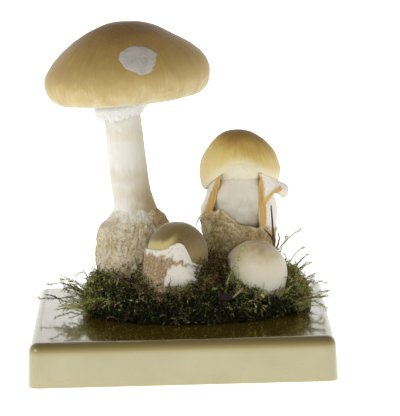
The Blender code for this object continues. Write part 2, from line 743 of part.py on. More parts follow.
def soil_mound(collection):
    """Mound of soil with brown litter and a forked twig, and plain holes for the feet."""
    profile = [*SOIL_DOME, (SOIL_HALF_WIDTH, 44.4), (SOIL_HALF_WIDTH, PATCH_FLOOR), (0.0, PATCH_FLOOR)]
    mound = turned("soil_mound", profile, 46, collection, new_material("soil_brown", (0.12, 0.07, 0.03), 0.95))
    reshape(mound, lambda p: on_patch(p, 3.6 if math.hypot(p[0], p[1]) < 50 else 0.0, 4.0))
    litter = new_collection("litter")
    draw = random.Random(SEED + 1)
    for number in range(LITTER_BITS):
        turn = number * 2.39996
        radius = 46 * math.sqrt((number + 0.5) / LITTER_BITS)
        spot = Vector(on_patch((radius * math.cos(turn), radius * math.sin(turn), 47.5)))
        distance, away = away_from_fungi(spot.x, spot.y)
        if distance < 1.0:
            continue
        aside = Vector((-away.y, away.x, 0)) * draw.choice((-1, 1))
        rise = Vector((0, 0, draw.uniform(0.2, 0.8)))
        inwards = (Vector((*PATCH_PLACE, 0)) - Vector((spot.x, spot.y, 0))).normalized()
        course = (aside + away * 0.3 + inwards * 0.5 + rise).normalized()
        length = draw.uniform(5.0, 9.0)
        if radius + length > 48.0:
            continue
        needle("bit", (spot - course * 3.0, spot + course * length), 1.1, litter)
    for path in TWIG:
        needle("twig", path, 0.9, litter)
    combine(mound, litter, "UNION")
    combine(mound, sockets("soil_sockets"), "DIFFERENCE")
    keep_main_body(mound)
    return mound


def main():
    """Build the group in an emptied scene."""
    for thing in list(bpy.data.objects):
        bpy.data.objects.remove(thing)
    group = new_collection("death_cap")
    base_board(group)
    soil_mound(group)
    moss(group)
    tall_body(group)
    young_body(group)
    button_body(group)
    egg(group)


main()
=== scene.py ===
"""Visual model of the death cap display group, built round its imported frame.

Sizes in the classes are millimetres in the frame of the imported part: the origin is the middle
of the board's flat underside, X runs to the right, Y to the back and Z up.
"""
from __future__ import annotations

import sys

import logging
import math
import random
from dataclasses import dataclass, field
from enum import Enum
from typing import Callable, Iterable, Sequence

import bpy
import numpy as np
from mathutils import Matrix, Vector, noise

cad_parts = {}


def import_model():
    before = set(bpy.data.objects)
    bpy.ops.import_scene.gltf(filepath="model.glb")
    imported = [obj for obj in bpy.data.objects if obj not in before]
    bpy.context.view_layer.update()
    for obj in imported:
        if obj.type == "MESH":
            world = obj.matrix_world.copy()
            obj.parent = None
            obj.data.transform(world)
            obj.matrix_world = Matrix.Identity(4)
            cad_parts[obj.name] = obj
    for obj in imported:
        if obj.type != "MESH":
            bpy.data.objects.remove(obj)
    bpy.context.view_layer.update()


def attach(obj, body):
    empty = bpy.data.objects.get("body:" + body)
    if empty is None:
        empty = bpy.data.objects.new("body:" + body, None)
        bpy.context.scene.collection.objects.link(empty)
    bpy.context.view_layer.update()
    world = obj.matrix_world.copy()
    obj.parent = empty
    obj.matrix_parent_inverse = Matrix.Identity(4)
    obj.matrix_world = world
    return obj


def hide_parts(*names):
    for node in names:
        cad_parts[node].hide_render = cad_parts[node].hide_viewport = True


LOG = logging.getLogger("death_cap")
MM = 0.001
WELD = 0.000001         # metres, for points that fall together
GAP = 0.35              # between pieces that touch
BODY = "root"

Piece = bpy.types.Object
Socket = bpy.types.NodeSocket
Material = bpy.types.Material
Pair = tuple[float, float]
Triple = tuple[float, float, float]
Profile = Sequence[Pair]
Rule = Callable[[Vector, float], Sequence[float]]   # a point and its run to the new point
Measure = Callable[[Vector, float], float]          # a point and its run to a value


# Numbers and curves

def curve(points: Profile, samples: int = 6) -> list[Pair]:
    """Draw a smooth curve through points.

    Args:
        points: Points that the curve passes.
        samples: Stretches between two points.

    Returns:
        The points of the curve.
    """
    ends = [points[0], *points, points[-1]]
    drawn = []
    for before, start, end, after in zip(ends, ends[1:], ends[2:], ends[3:]):
        for step in range(samples):
            t = step / samples
            drawn.append(tuple(
                0.5 * (2 * b + (c - a) * t + (2 * a - 5 * b + 4 * c - d) * t ** 2
                       + (3 * b - a - 3 * c + d) * t ** 3)
                for a, b, c, d in zip(before, start, end, after)))
    return drawn + [tuple(points[-1])]


def ramp(value: float, start: float, end: float) -> float:
    """Rise smoothly from 0 at start to 1 at end."""
    t = min(max((value - start) / (end - start), 0.0), 1.0)
    return t * t * (3 - 2 * t)


def between(pairs: Iterable[Pair], where: float) -> float:
    """Read a value at a place by straight lines between (place, value) pairs.

    Args:
        pairs: Places with their values, in any order.
        where: Place to read at.

    Returns:
        The value there, held level beyond the ends.
    """
    ordered = sorted(pairs)
    places, values = zip(*ordered)
    return float(np.interp(where, places, values))


def radius_at(profile: Profile, height: float) -> float:
    """Read the radius of an outer profile at a height."""
    return between(((z, r) for r, z in profile), height)


def offset(profile: Profile, distance: float) -> list[Pair]:
    """Move an outer profile, drawn from the top down, outwards by a distance.

    Args:
        profile: Points as (radius, height).
        distance: How far outwards.

    Returns:
        The moved points.
    """
    moved = []
    for i, (r, z) in enumerate(profile):
        before, after = profile[max(i - 1, 0)], profile[min(i + 1, len(profile) - 1)]
        along = Vector((after[0] - before[0], after[1] - before[1])).normalized()
        moved.append((max(r - along.y * distance, 0.0), z + along.x * distance))
    return moved


def rough(point: Sequence[float], size: float, seed: float = 0.0) -> float:
    """Read even noise from -1 to 1 with lumps of a size."""
    return noise.noise(Vector(point) / size + Vector((seed, seed, seed)))


def grain(point: Sequence[float], size: float, seed: float = 0.0) -> float:
    """Read noise with three finer and finer octaves, from about -1 to 1."""
    return (rough(point, size, seed) + 0.5 * rough(point, size / 2.1, seed + 3)
            + 0.25 * rough(point, size / 4.3, seed + 7)) / 1.4


def round_about(point: Sequence[float], reach: float) -> Vector:
    """Place the direction of a point round the Z axis on a circle of a radius."""
    return Vector((point[0], point[1], 0.0)).normalized() * reach


def from_front(point: Sequence[float]) -> float:
    """Measure degrees round the axis from the front, growing towards the left."""
    return math.degrees(math.atan2(-point[0], -point[1])) % 360


# Modelling

def clear_selection() -> None:
    """Leave nothing selected, so an operator acts on the new piece alone."""
    bpy.ops.object.select_all(action="DESELECT")


def take(piece: Piece) -> Piece:
    """Select one piece alone and make it active.

    Args:
        piece: Piece to select.

    Returns:
        The same piece.
    """
    clear_selection()
    piece.select_set(True)
    bpy.context.view_layer.objects.active = piece
    return piece


def named(name: str) -> Piece:
    """Name the piece that an operator has just added, and its mesh, and give the piece."""
    bpy.context.object.name = bpy.context.object.data.name = name
    return bpy.context.object


def lathe(name: str, profile: Profile, steps: int, closed: bool = False) -> Piece:
    """Extrude a profile point by point and spin it round the Z axis.

    Args:
        name: Name of the piece.
        profile: Points as (radius, height).
        steps: Stretches round the axis.
        closed: Whether the last point joins the first.

    Returns:
        The turned piece, with a value "run" on each point: its share of the profile's length.
    """
    clear_selection()
    radius, height = profile[0]
    bpy.ops.mesh.primitive_plane_add(size=MM, location=(radius * MM, 0.0, height * MM))
    piece = named(name)
    bpy.ops.object.transform_apply(location=True)
    bpy.ops.object.mode_set(mode="EDIT")
    bpy.ops.mesh.select_mode(type="VERT")
    bpy.ops.mesh.merge(type="CENTER")
    for (r0, z0), (r1, z1) in zip(profile, [*profile[1:], profile[0]] if closed else profile[1:]):
        step = ((r1 - r0) * MM, 0.0, (z1 - z0) * MM)
        bpy.ops.mesh.extrude_region_move(TRANSFORM_OT_translate={"value": step})
    bpy.ops.mesh.select_all(action="SELECT")
    bpy.ops.mesh.remove_doubles(threshold=WELD)
    bpy.ops.mesh.spin(steps=steps, angle=math.tau, center=(0, 0, 0), axis=(0, 0, 1))
    bpy.ops.mesh.select_all(action="SELECT")
    bpy.ops.mesh.remove_doubles(threshold=WELD)
    bpy.ops.mesh.normals_make_consistent(inside=False)
    bpy.ops.object.mode_set(mode="OBJECT")
    tag_run(piece, profile)
    return piece


def places_of(piece: Piece) -> np.ndarray:
    """Read the points of a piece as rows of millimetres.

    Args:
        piece: Piece to read.

    Returns:
        One row for each point.
    """
    flat = np.empty(3 * len(piece.data.vertices), np.float32)
    piece.data.vertices.foreach_get("co", flat)
    return flat.reshape(-1, 3).astype(float) / MM


def write_value(piece: Piece, name: str, values: Sequence[float]) -> None:
    """Keep one number for each point of a piece, which its finish can read."""
    layer = piece.data.attributes.get(name) or piece.data.attributes.new(name, "FLOAT", "POINT")
    layer.data.foreach_set("value", np.asarray(values, np.float32))


def read_value(piece: Piece, name: str) -> list[float]:
    """Read the number that each point of a piece keeps under a name.

    Args:
        piece: Piece to read.
        name: Name of the value.

    Returns:
        One number for each point, 0 where it keeps none.
    """
    layer = piece.data.attributes.get(name)
    if layer is None:
        return [0.0] * len(piece.data.vertices)
    flat = np.empty(len(piece.data.vertices), np.float32)
    layer.data.foreach_get("value", flat)
    return flat.tolist()


def tag_run(piece: Piece, profile: Profile) -> None:
    """Give each point its share of the profile's length, from the nearest profile point.

    Args:
        piece: Turned piece.
        profile: Points that it was turned from.
    """
    line = np.array(profile, float)
    lengths = np.concatenate([[0.0], np.cumsum(np.hypot(*np.diff(line, axis=0).T))])
    places = places_of(piece)
    seen = np.stack([np.hypot(places[:, 0], places[:, 1]), places[:, 2]], axis=1)
    nearest = np.argmin(((seen[:, None, :] - line[None, :, :]) ** 2).sum(axis=2), axis=1)
    write_value(piece, "run", lengths[nearest] / lengths[-1])


def tag(piece: Piece, name: str, measure: Measure) -> None:
    """Measure each point of a piece and keep the result under a name."""
    runs = read_value(piece, "run")
    write_value(piece, name, [measure(Vector(p), run) for p, run in zip(places_of(piece), runs)])


def sculpt(piece: Piece, rule: Rule) -> None:
    """Move each point of a piece by a rule.

    Args:
        piece: Piece to shape.
        rule: Takes a point in millimetres and its run, and gives the new point.
    """
    runs = read_value(piece, "run")
    moved = [tuple(rule(Vector(p), run)) for p, run in zip(places_of(piece), runs)]
    piece.data.vertices.foreach_set("co", (np.array(moved) * MM).astype(np.float32).ravel())
    piece.data.update()


def modify(piece: Piece, kind: str, **settings: object) -> Piece:
    """Add a modifier to a piece and apply it.

    Args:
        piece: Piece to change.
        kind: Blender's name for the kind of modifier.
        **settings: Values of the modifier's own settings.

    Returns:
        The same piece.
    """
    take(piece)
    modifier = piece.modifiers.new(kind.lower(), kind)
    for setting, value in settings.items():
        setattr(modifier, setting, value)
    bpy.ops.object.modifier_apply(modifier=modifier.name)
    return piece


def join(pieces: Sequence[Piece]) -> Piece:
    """Join pieces into the first of them.

    Args:
        pieces: Pieces to join.

    Returns:
        The first piece.
    """
    take(pieces[0])
    for piece in pieces[1:]:
        piece.select_set(True)
    bpy.ops.object.join()
    return pieces[0]


def carry(piece: Piece, place: Sequence[float], tilt: float = 0.0) -> None:
    """Turn a piece about Y and move it to its place, all in its mesh."""
    piece.data.transform(Matrix.Translation(Vector(place) * MM) @ Matrix.Rotation(tilt, 4, "Y"))
    piece.data.update()


def tube(name: str, path: Sequence[Triple], radii: Sequence[float], sides: int) -> Piece:
    """Sweep a round section along a path, with a radius at each point.

    Args:
        name: Name of the piece.
        path: Points of the path.
        radii: Radius at each point.
        sides: Resolution of the section.

    Returns:
        The closed tube as a mesh.
    """
    line = bpy.data.curves.new(name, "CURVE")
    line.dimensions, line.bevel_depth, line.bevel_resolution = "3D", MM, sides
    line.use_fill_caps = True
    spline = line.splines.new("POLY")
    spline.points.add(len(path) - 1)
    for spot, place, radius in zip(spline.points, path, radii):
        spot.co, spot.radius = (*(Vector(place) * MM), 1.0), radius
    piece = bpy.data.objects.new(name, line)
    bpy.context.scene.collection.objects.link(piece)
    take(piece)
    bpy.ops.object.convert(target="MESH")
    piece = bpy.context.object
    bpy.ops.object.mode_set(mode="EDIT")
    bpy.ops.mesh.select_all(action="SELECT")
    bpy.ops.mesh.remove_doubles(threshold=WELD)
    bpy.ops.mesh.normals_make_consistent(inside=False)
    bpy.ops.object.mode_set(mode="OBJECT")
    return piece


def hand_over(piece: Piece, finish: "Finish", node: str, soft: bool = True) -> None:
    """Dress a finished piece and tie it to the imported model.

    Args:
        piece: Piece whose shape is final.
        finish: Surface that it gets.
        node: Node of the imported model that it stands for.
        soft: Whether its surface is shaded smooth.
    """
    take(piece)
    if soft:
        bpy.ops.object.shade_smooth()
    else:
        bpy.ops.object.shade_smooth_by_angle(angle=math.radians(35))
    piece.data.materials.clear()
    piece.data.materials.append(finish.material())
    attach(piece, BODY)
    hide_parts(node)
    triangles = sum(len(face.vertices) - 2 for face in piece.data.polygons)
    LOG.info("%s: %d triangles, finish %s", piece.name, triangles, finish.name)


# Finishes

def tint(code: str) -> tuple[float, float, float, float]:
    """Turn a colour code such as C8A070 into linear red, green, blue and alpha."""
    parts = [int(code[i:i + 2], 16) / 255 for i in (0, 2, 4)]
    return (*(p / 12.92 if p <= 0.04045 else ((p + 0.055) / 1.055) ** 2.4 for p in parts), 1.0)


class Wiring:
    """Wires the nodes of one material round its Principled shader."""

    def __init__(self, name: str, values: dict[str, object]) -> None:
        """Start a material and set uniform values on the shader's own sockets.

        Args:
            name: Name of the material.
            values: Value of each named socket.
        """
        self.made = bpy.data.materials.new(name)
        self.made.use_nodes = True
        self.tree = self.made.node_tree
        self.shader = self.tree.nodes["Principled BSDF"]
        for socket, value in values.items():
            self.shader.inputs[socket].default_value = value
        self.object_place = self.add("ShaderNodeTexCoord", {}).outputs["Object"]

    def add(self, kind: str, inputs: dict[object, object], **settings: object) -> bpy.types.Node:
        """Add a node.

        Args:
            kind: Blender's name for the kind of node.
            inputs: A value or another node's output for each named or numbered input.
            **settings: Values of the node's own settings.

        Returns:
            The node.
        """
        node = self.tree.nodes.new(kind)
        for setting, value in settings.items():
            setattr(node, setting, value)
        for key, value in inputs.items():
            if isinstance(value, Socket):
                self.tree.links.new(value, node.inputs[key])
            else:
                node.inputs[key].default_value = value
        return node

    def local(self, centre: Sequence[float] = (0, 0, 0), tilt: float = 0.0) -> Socket:
        """Give millimetres from a centre, turned back by a tilt about Y."""
        return self.add("ShaderNodeMapping", {
            "Vector": self.object_place, "Location": Vector(centre) * MM,
            "Rotation": (0.0, tilt, 0.0), "Scale": (MM, MM, MM)},
            vector_type="TEXTURE").outputs[0]

    def stretched(self, place: Socket, scale: Triple) -> Socket:
        """Scale a place along its axes."""
        return self.joined("MULTIPLY", place, scale)

    def joined(self, operation: str, first: object, second: object) -> Socket:
        """Work on two places by the name of an operation."""
        return self.add("ShaderNodeVectorMath", {0: first, 1: second},
                        operation=operation).outputs[0]

    def noise(self, place: Socket, size: float, detail: float = 4.0,
              roughness: float = 0.55, warp: float = 0.0) -> Socket:
        """Give noise from 0 to 1 with lumps of a size in the units of the place."""
        return self.add("ShaderNodeTexNoise", {
            "Vector": place, "Scale": 1.0 / size, "Detail": detail, "Roughness": roughness,
            "Distortion": warp}).outputs["Fac"]

    def cells(self, place: Socket, size: float) -> Socket:
        """Give the distance to the nearest cell's centre."""
        voronoi = self.add("ShaderNodeTexVoronoi", {"Vector": place, "Scale": 1.0 / size})
        return voronoi.outputs["Distance"]

    def axis(self, place: Socket, name: str) -> Socket:
        """Give one coordinate of a place."""
        return self.add("ShaderNodeSeparateXYZ", {0: place}).outputs[name]

    def radial(self, place: Socket, reach: float,
               length: float) -> Socket:
        """Give a place for fibres that run along the axis or out from it.

        Args:
            place: Place with the axis at its centre.
            reach: Radius of the circle that the direction is read on.
            length: Length over which a fibre changes.

        Returns:
            The direction round the axis, with the height shrunk.
        """
        flat = self.stretched(place, (1.0, 1.0, 0.0))
        ring = self.joined("NORMALIZE", flat, (0.0, 0.0, 0.0))
        wide = self.stretched(ring, (reach, reach, 0.0))
        return self.joined("ADD", wide, self.stretched(place, (0.0, 0.0, 1.0 / length)))

    def value(self, name: str) -> Socket:
        """Give the number that the piece's points keep under a name."""
        return self.add("ShaderNodeAttribute", {}, attribute_name=name).outputs["Fac"]

    def span(self, value: Socket, low: float, high: float) -> Socket:
        """Map low to 0 and high to 1, held beyond them."""
        return self.add("ShaderNodeMapRange", {"Value": value, "From Min": low, "From Max": high},
                        clamp=True).outputs[0]

    def sums(self, operation: str, first: object, second: object) -> Socket:
        """Work on two numbers by the name of an operation."""
        return self.add("ShaderNodeMath", {0: first, 1: second}, operation=operation).outputs[0]

    def times(self, first: object, second: object) -> Socket:
        """Multiply two numbers."""
        return self.sums("MULTIPLY", first, second)

    def plus(self, first: object, second: object) -> Socket:
        """Add two numbers."""
        return self.sums("ADD", first, second)

    def minus(self, first: object, second: object) -> Socket:
        """Take the second number from the first."""
        return self.sums("SUBTRACT", first, second)

    def shades(self, factor: Socket,
               stops: Sequence[tuple[float, str]]) -> Socket:
        """Read a colour off a row of (place, colour code) stops.

        Args:
            factor: Where to read.
            stops: Places from 0 to 1, with their colours.

        Returns:
            The colour.
        """
        node = self.add("ShaderNodeValToRGB", {0: factor})
        stretch = node.color_ramp.elements
        while len(stretch) < len(stops):
            stretch.new(0.5)
        for element, (place, code) in zip(stretch, stops):
            element.position, element.color = place, tint(code)
        return node.outputs["Color"]

    def blend(self, factor: object, first: object, second: object) -> Socket:
        """Mix two colours, given as outputs or as colour codes.

        Args:
            factor: Share of the second colour.
            first: One colour.
            second: The other.

        Returns:
            The mixed colour.
        """
        colours = [tint(c) if isinstance(c, str) else c for c in (first, second)]
        return self.add("ShaderNodeMix", {0: factor, 6: colours[0], 7: colours[1]},
                        data_type="RGBA").outputs[2]

    def wash(self, colour: object, code: str, mask: Socket, strength: float) -> Socket:
        """Lay a colour over another where a mask is, at most by a strength."""
        return self.blend(self.times(mask, strength), colour, code)

    def done(self, colour: Socket, height: Socket, depth: float,
             roughness: Socket | None = None) -> Material:
        """Link colour, relief and, where it varies, roughness.

        Args:
            colour: Base colour.
            height: Relief from 0 to 1.
            depth: Depth of the relief in millimetres.
            roughness: Varying roughness, if any.

        Returns:
            The material.
        """
        self.tree.links.new(colour, self.shader.inputs["Base Color"])
        bump = self.add("ShaderNodeBump", {
            "Height": height, "Distance": depth * MM, "Strength": 1.0})
        self.tree.links.new(bump.outputs[0], self.shader.inputs["Normal"])
        if roughness is not None:
            self.tree.links.new(roughness, self.shader.inputs["Roughness"])
        return self.made


@dataclass(frozen=True)
class Finish:
    """A surface: its name, its slot, and uniform values of its shader."""

    name: str
    slot: str
    values: dict[str, object] = field(default_factory=dict, hash=False)

    def material(self) -> Material:
        """Find the finish's material, or make it the first time."""
        return bpy.data.materials.get(self.name) or self.wire(Wiring(self.name, self.values))

    def wire(self, w: Wiring) -> Material:
        """Wire the finish, which each kind does its own way."""
        raise NotImplementedError


@dataclass(frozen=True)
class MouldedPlastic(Finish):
    """Cream moulded plastic with faint clouds, dust and a soft ripple, and painted shade that
    darkens the rounded top edge and the top.
    """

    def wire(self, w: Wiring) -> Material:
        """Wire the board's surface.

        Args:
            w: Wiring of the material.

        Returns:
            The material.
        """
        place = w.local()
        clouds = w.noise(place, 30.0, 3.0)
        colour = w.shades(w.span(clouds, 0.3, 0.7), ((0.0, "A69F79"), (1.0, "AFA988")))
        specks = w.span(w.cells(place, 3.2), 0.05, 0.09)
        colour = w.blend(specks, "8E8255", colour)
        rise = w.axis(place, "Z")
        # Painted shade: the upper front face and the rounded top edge turn olive, and the top dark
        # brown, standing for weak light from above.
        colour = w.wash(colour, "A89446", w.span(rise, 17.5, 21.0), 0.8)
        colour = w.wash(colour, "5A4704", w.span(rise, 19.0, 25.5), 0.94)
        smudges = w.span(w.noise(place, 12.0, 4.0), -0.3, 4.0)
        return w.done(colour, w.noise(place, 6.0, 2.0), 0.03, smudges)


@dataclass(frozen=True)
class CapSkin(Finish):
    """Silky skin of a cap: dark at the crown and pale at the margin, with radial fibres."""

    centre: Triple = (0, 0, 0)
    tilt: float = 0.0
    stops: tuple[tuple[float, str], ...] = ()
    fibres: float = 30.0
    streaks: str = "5A421C"
    margin: str = "E9DFC2"
    depth: float = 0.05

    def wire(self, w: Wiring) -> Material:
        """Wire the skin by the run from the crown and the value "margin" of its points.

        Args:
            w: Wiring of the material.

        Returns:
            The material.
        """
        place = w.local(self.centre, self.tilt)
        strands = w.noise(w.radial(place, self.fibres, 26.0), 1.0, 5.0, 0.65)
        mottle = w.noise(place, 11.0, 5.0, 0.6, 0.6)
        shift = w.times(w.minus(mottle, 0.5), 0.17)
        comb = w.times(w.minus(strands, 0.5), 0.04)
        run = w.plus(w.plus(w.value("run"), shift), comb)
        colour = w.shades(run, self.stops)
        dark = w.times(w.span(strands, 0.60, 0.36), 0.13)
        fade = w.times(dark, w.span(w.value("run"), 0.60, 0.25))
        colour = w.blend(fade, colour, self.streaks)
        fine = w.noise(place, 0.8, 3.0, 0.6)
        colour = w.wash(colour, "CDBB86", w.span(fine, 0.45, 0.75), 0.16)
        colour = w.blend(w.value("margin"), colour, self.margin)
        height = w.plus(strands, w.times(fine, 0.35))
        gloss = w.span(mottle, -0.55, 1.25)
        return w.done(colour, height, self.depth, gloss)


@dataclass(frozen=True)
class Flesh(Finish):
    """Pale fibrous flesh of a stem, with faint bands across it, painted shade down its right side,
    and a warm brown tone low on the right that is partly a stain and partly painted shade.
    """

    centre: Triple = (0, 0, 0)
    base: str = "DAD5C8"
    streak: str = "BDB59E"
    bands: tuple[tuple[float, float, str, float], ...] = ()
    shade_and_stain: float = 0.0
    fibres: float = 9.0

    def wire(self, w: Wiring) -> Material:
        """Wire the flesh: fibres along the stem, then each band, then the painted shade on the
        right side.

        Args:
            w: Wiring of the material.

        Returns:
            The material.
        """
        place = w.local(self.centre)
        strands = w.noise(w.radial(place, self.fibres, 30.0), 1.0, 5.0, 0.7)
        mottle = w.noise(place, 6.0, 5.0, 0.6, 0.4)
        colour = w.wash(self.base, self.streak, w.span(strands, 0.42, 0.75), 0.5)
        colour = w.wash(colour, "F3EFE6", w.span(mottle, 0.46, 0.72), 0.35)
        wave = w.times(w.minus(mottle, 0.5), 14.0)
        rise = w.plus(w.axis(place, "Z"), wave)
        for height, width, code, strength in self.bands:
            away = w.sums("ABSOLUTE", w.minus(rise, height), 0.0)
            colour = w.wash(colour, code, w.span(away, width, 0.0), strength)
        # Painted shade: the right side greys, and lower down it turns warm brown, partly a stain
        # and partly painted shade.
        if self.shade_and_stain:
            side = w.span(w.plus(w.axis(place, "X"), wave), 0.0, 15.0)
            low = w.span(w.axis(place, "Z"), 118.0, 92.0)
            colour = w.wash(colour, "C9BF9C", side, 0.35)
            colour = w.wash(colour, "A88C52", w.times(side, low), self.shade_and_stain)
        height = w.plus(strands, w.times(w.noise(place, 1.2, 4.0), 0.5))
        return w.done(colour, height, 0.16)


@dataclass(frozen=True)
class Membrane(Finish):
    """Thin veil: pale, finely fibrous, with faint stains."""

    base: str = "DDD8CC"
    stain: str = "B9AF97"
    thread: str = "F6F4EE"
    size: float = 3.0

    def wire(self, w: Wiring) -> Material:
        """Wire the veil by two sizes of cloudy noise.

        Args:
            w: Wiring of the material.

        Returns:
            The material.
        """
        place = w.local()
        clouds = w.noise(place, self.size, 5.0, 0.65, 0.8)
        colour = w.blend(w.span(clouds, 0.46, 0.68), self.base, self.stain)
        threads = w.noise(w.stretched(place, (1.0, 1.0, 2.6)), 0.8, 4.0, 0.7)
        colour = w.wash(colour, self.thread, w.span(threads, 0.5, 0.75), 0.35)
        return w.done(colour, w.plus(threads, clouds), 0.14)


@dataclass(frozen=True)
class Crust(Finish):
    """Earthy sack: pale flesh with crumbs of soil, cracks and an ochre torn face, partly its own
    ochre tint and partly a painted glow of light shining through the wall.
    """

    pale: str = "E6DAC0"
    dusty: str = "CDBC95"
    soil: str = "A08862"
    crack: str = "826B42"
    ochre: tuple[str, str] = ("A97C36", "CBAA66")
    flesh: str = "E6E0D2"
    centre: Triple = (0, 0, 0)

    def wire(self, w: Wiring) -> Material:
        """Wire the crust by the values "earth", "bare" and "torn" of its points.

        Args:
            w: Wiring of the material.

        Returns:
            The material.
        """
        place = w.local(self.centre)
        clouds = w.noise(place, 8.0, 6.0, 0.65, 0.5)
        lumps = w.noise(place, 1.7, 6.0, 0.72, 0.3)
        crumbs = w.noise(place, 0.75, 3.0, 0.6, 0.5)
        earth = w.value("earth")
        colour = w.blend(w.span(clouds, 0.38, 0.62), self.pale, self.dusty)
        soiled = w.plus(clouds, w.times(earth, 0.42))
        colour = w.blend(w.span(soiled, 0.62, 0.86), colour, self.soil)
        for feature, low, high, strength, code in (
                (lumps, 0.53, 0.66, 0.6, self.pale), (lumps, 0.48, 0.36, 0.75, self.crack),
                (crumbs, 0.47, 0.36, 0.55, self.crack), (crumbs, 0.56, 0.68, 0.35, "F1EADB")):
            colour = w.wash(colour, code, w.span(feature, low, high), strength)
        dots = w.span(w.cells(w.stretched(place, (1.0, 1.0, 0.7)), 2.6), 0.24, 0.12)
        sparse = w.span(w.noise(place, 3.1, 2.0), 0.56, 0.64)
        colour = w.wash(colour, "3F2F1E", w.times(sparse, dots), 0.8)
        chips = w.times(w.span(lumps, 0.43, 0.33), 0.5)
        skin = w.times(w.value("bare"), w.minus(1.0, chips))
        colour = w.blend(skin, colour, self.flesh)
        # Torn faces: their own ochre tint, with a painted glow of light shining through the thin
        # wall.
        threads = w.noise(w.radial(place, 16.0, 12.0), 1.0, 3.0, 0.6)
        torn = w.shades(threads, ((0.3, self.ochre[0]), (0.7, self.ochre[1])))
        colour = w.blend(w.value("torn"), colour, torn)
        rugged = w.minus(1.0, w.sums("MAXIMUM", w.value("bare"), w.value("torn")))
        return w.done(colour, w.times(lumps, w.sums("MAXIMUM", rugged, 0.12)), 0.75)


@dataclass(frozen=True)
class EggSkin(Finish):
    """Smooth closed veil: brownish on top, cream below, faintly stained."""

    centre: Triple = (0, 0, 0)

    def wire(self, w: Wiring) -> Material:
        """Wire the egg by height, side and fibrous noise.

        Args:
            w: Wiring of the material.

        Returns:
            The material.
        """
        place = w.local(self.centre)
        clouds = w.noise(place, 8.0, 5.0, 0.6, 0.6)
        fibres = w.noise(w.radial(place, 12.0, 22.0), 1.0, 4.0, 0.65)
        wave = w.times(w.minus(clouds, 0.5), 16.0)
        height = w.span(w.plus(w.axis(place, "Z"), wave), 46.0, 72.0)
        colour = w.shades(height, (
            (0.0, "E2DCC9"), (0.45, "E2D8BD"), (0.72, "D2C19A"), (0.95, "A88E5E")))
        left = w.span(w.plus(w.axis(place, "X"), wave), -7.0, -18.0)
        colour = w.wash(colour, "97895A", left, 0.6)
        right = w.span(w.minus(w.axis(place, "X"), w.axis(place, "Z")), -38.0, -28.0)
        colour = w.wash(colour, "9F9068", right, 0.3)
        colour = w.wash(colour, "E8E2D0", w.span(fibres, 0.55, 0.78), 0.25)
        return w.done(colour, w.plus(fibres, clouds), 0.10)


@dataclass(frozen=True)
class Leafage(Finish):
    """Moss or litter: a row of shades, one for each sprig's tone."""

    stops: tuple[tuple[float, str], ...] = ()

    def wire(self, w: Wiring) -> Material:
        """Wire the sprigs by their tone with fine variation.

        Args:
            w: Wiring of the material.

        Returns:
            The material.
        """
        place = w.local()
        fine = w.noise(place, 1.3, 3.0, 0.6)
        tone = w.plus(w.value("tone"), w.times(w.minus(fine, 0.5), 0.3))
        return w.done(w.shades(tone, self.stops), fine, 0.12)


@dataclass(frozen=True)
class Earth(Finish):
    """Crumbly ground: dark soil with paler crumbs and fibres."""

    stops: tuple[tuple[float, str], ...] = (
        (0.25, "1E140A"), (0.5, "3F2C18"), (0.72, "6A4F31"), (0.9, "94774F"))

    def wire(self, w: Wiring) -> Material:
        """Wire the ground by crumbs and larger patches.

        Args:
            w: Wiring of the material.

        Returns:
            The material.
        """
        place = w.local()
        crumbs = w.noise(place, 1.6, 6.0, 0.72, 0.3)
        patches = w.noise(place, 8.0, 3.0, 0.6)
        mixed = w.plus(w.times(crumbs, 0.7), w.times(patches, 0.35))
        return w.done(w.shades(mixed, self.stops), crumbs, 0.9)


@dataclass(frozen=True)
class PaleFloor(Finish):
    """Matt white floor of the studio, faintly lit from below."""

    def wire(self, w: Wiring) -> Material:
        """Wire the floor with barely seen clouds.

        Args:
            w: Wiring of the material.

        Returns:
            The material.
        """
        place = w.local()
        clouds = w.noise(place, 400.0, 2.0)
        return w.done(w.shades(clouds, ((0.0, "F2F2F0"), (1.0, "F6F6F4"))), clouds, 0.01)


SILK = {"Roughness": 0.45, "Specular IOR Level": 0.3, "Sheen Weight": 0.38, "Sheen Roughness": 0.25}
SOFT = {"Roughness": 0.62, "Specular IOR Level": 0.35, "Sheen Weight": 0.25, "Sheen Roughness": 0.5,
        "Subsurface Weight": 0.12, "Subsurface Radius": (1.0, 0.75, 0.5), "Subsurface Scale": 0.002}
THIN = {"Roughness": 0.6, "Specular IOR Level": 0.35, "Subsurface Weight": 0.35,
        "Subsurface Radius": (1.0, 0.75, 0.5), "Subsurface Scale": 0.003}
MATT = {"Roughness": 0.85, "Specular IOR Level": 0.25}


# The group

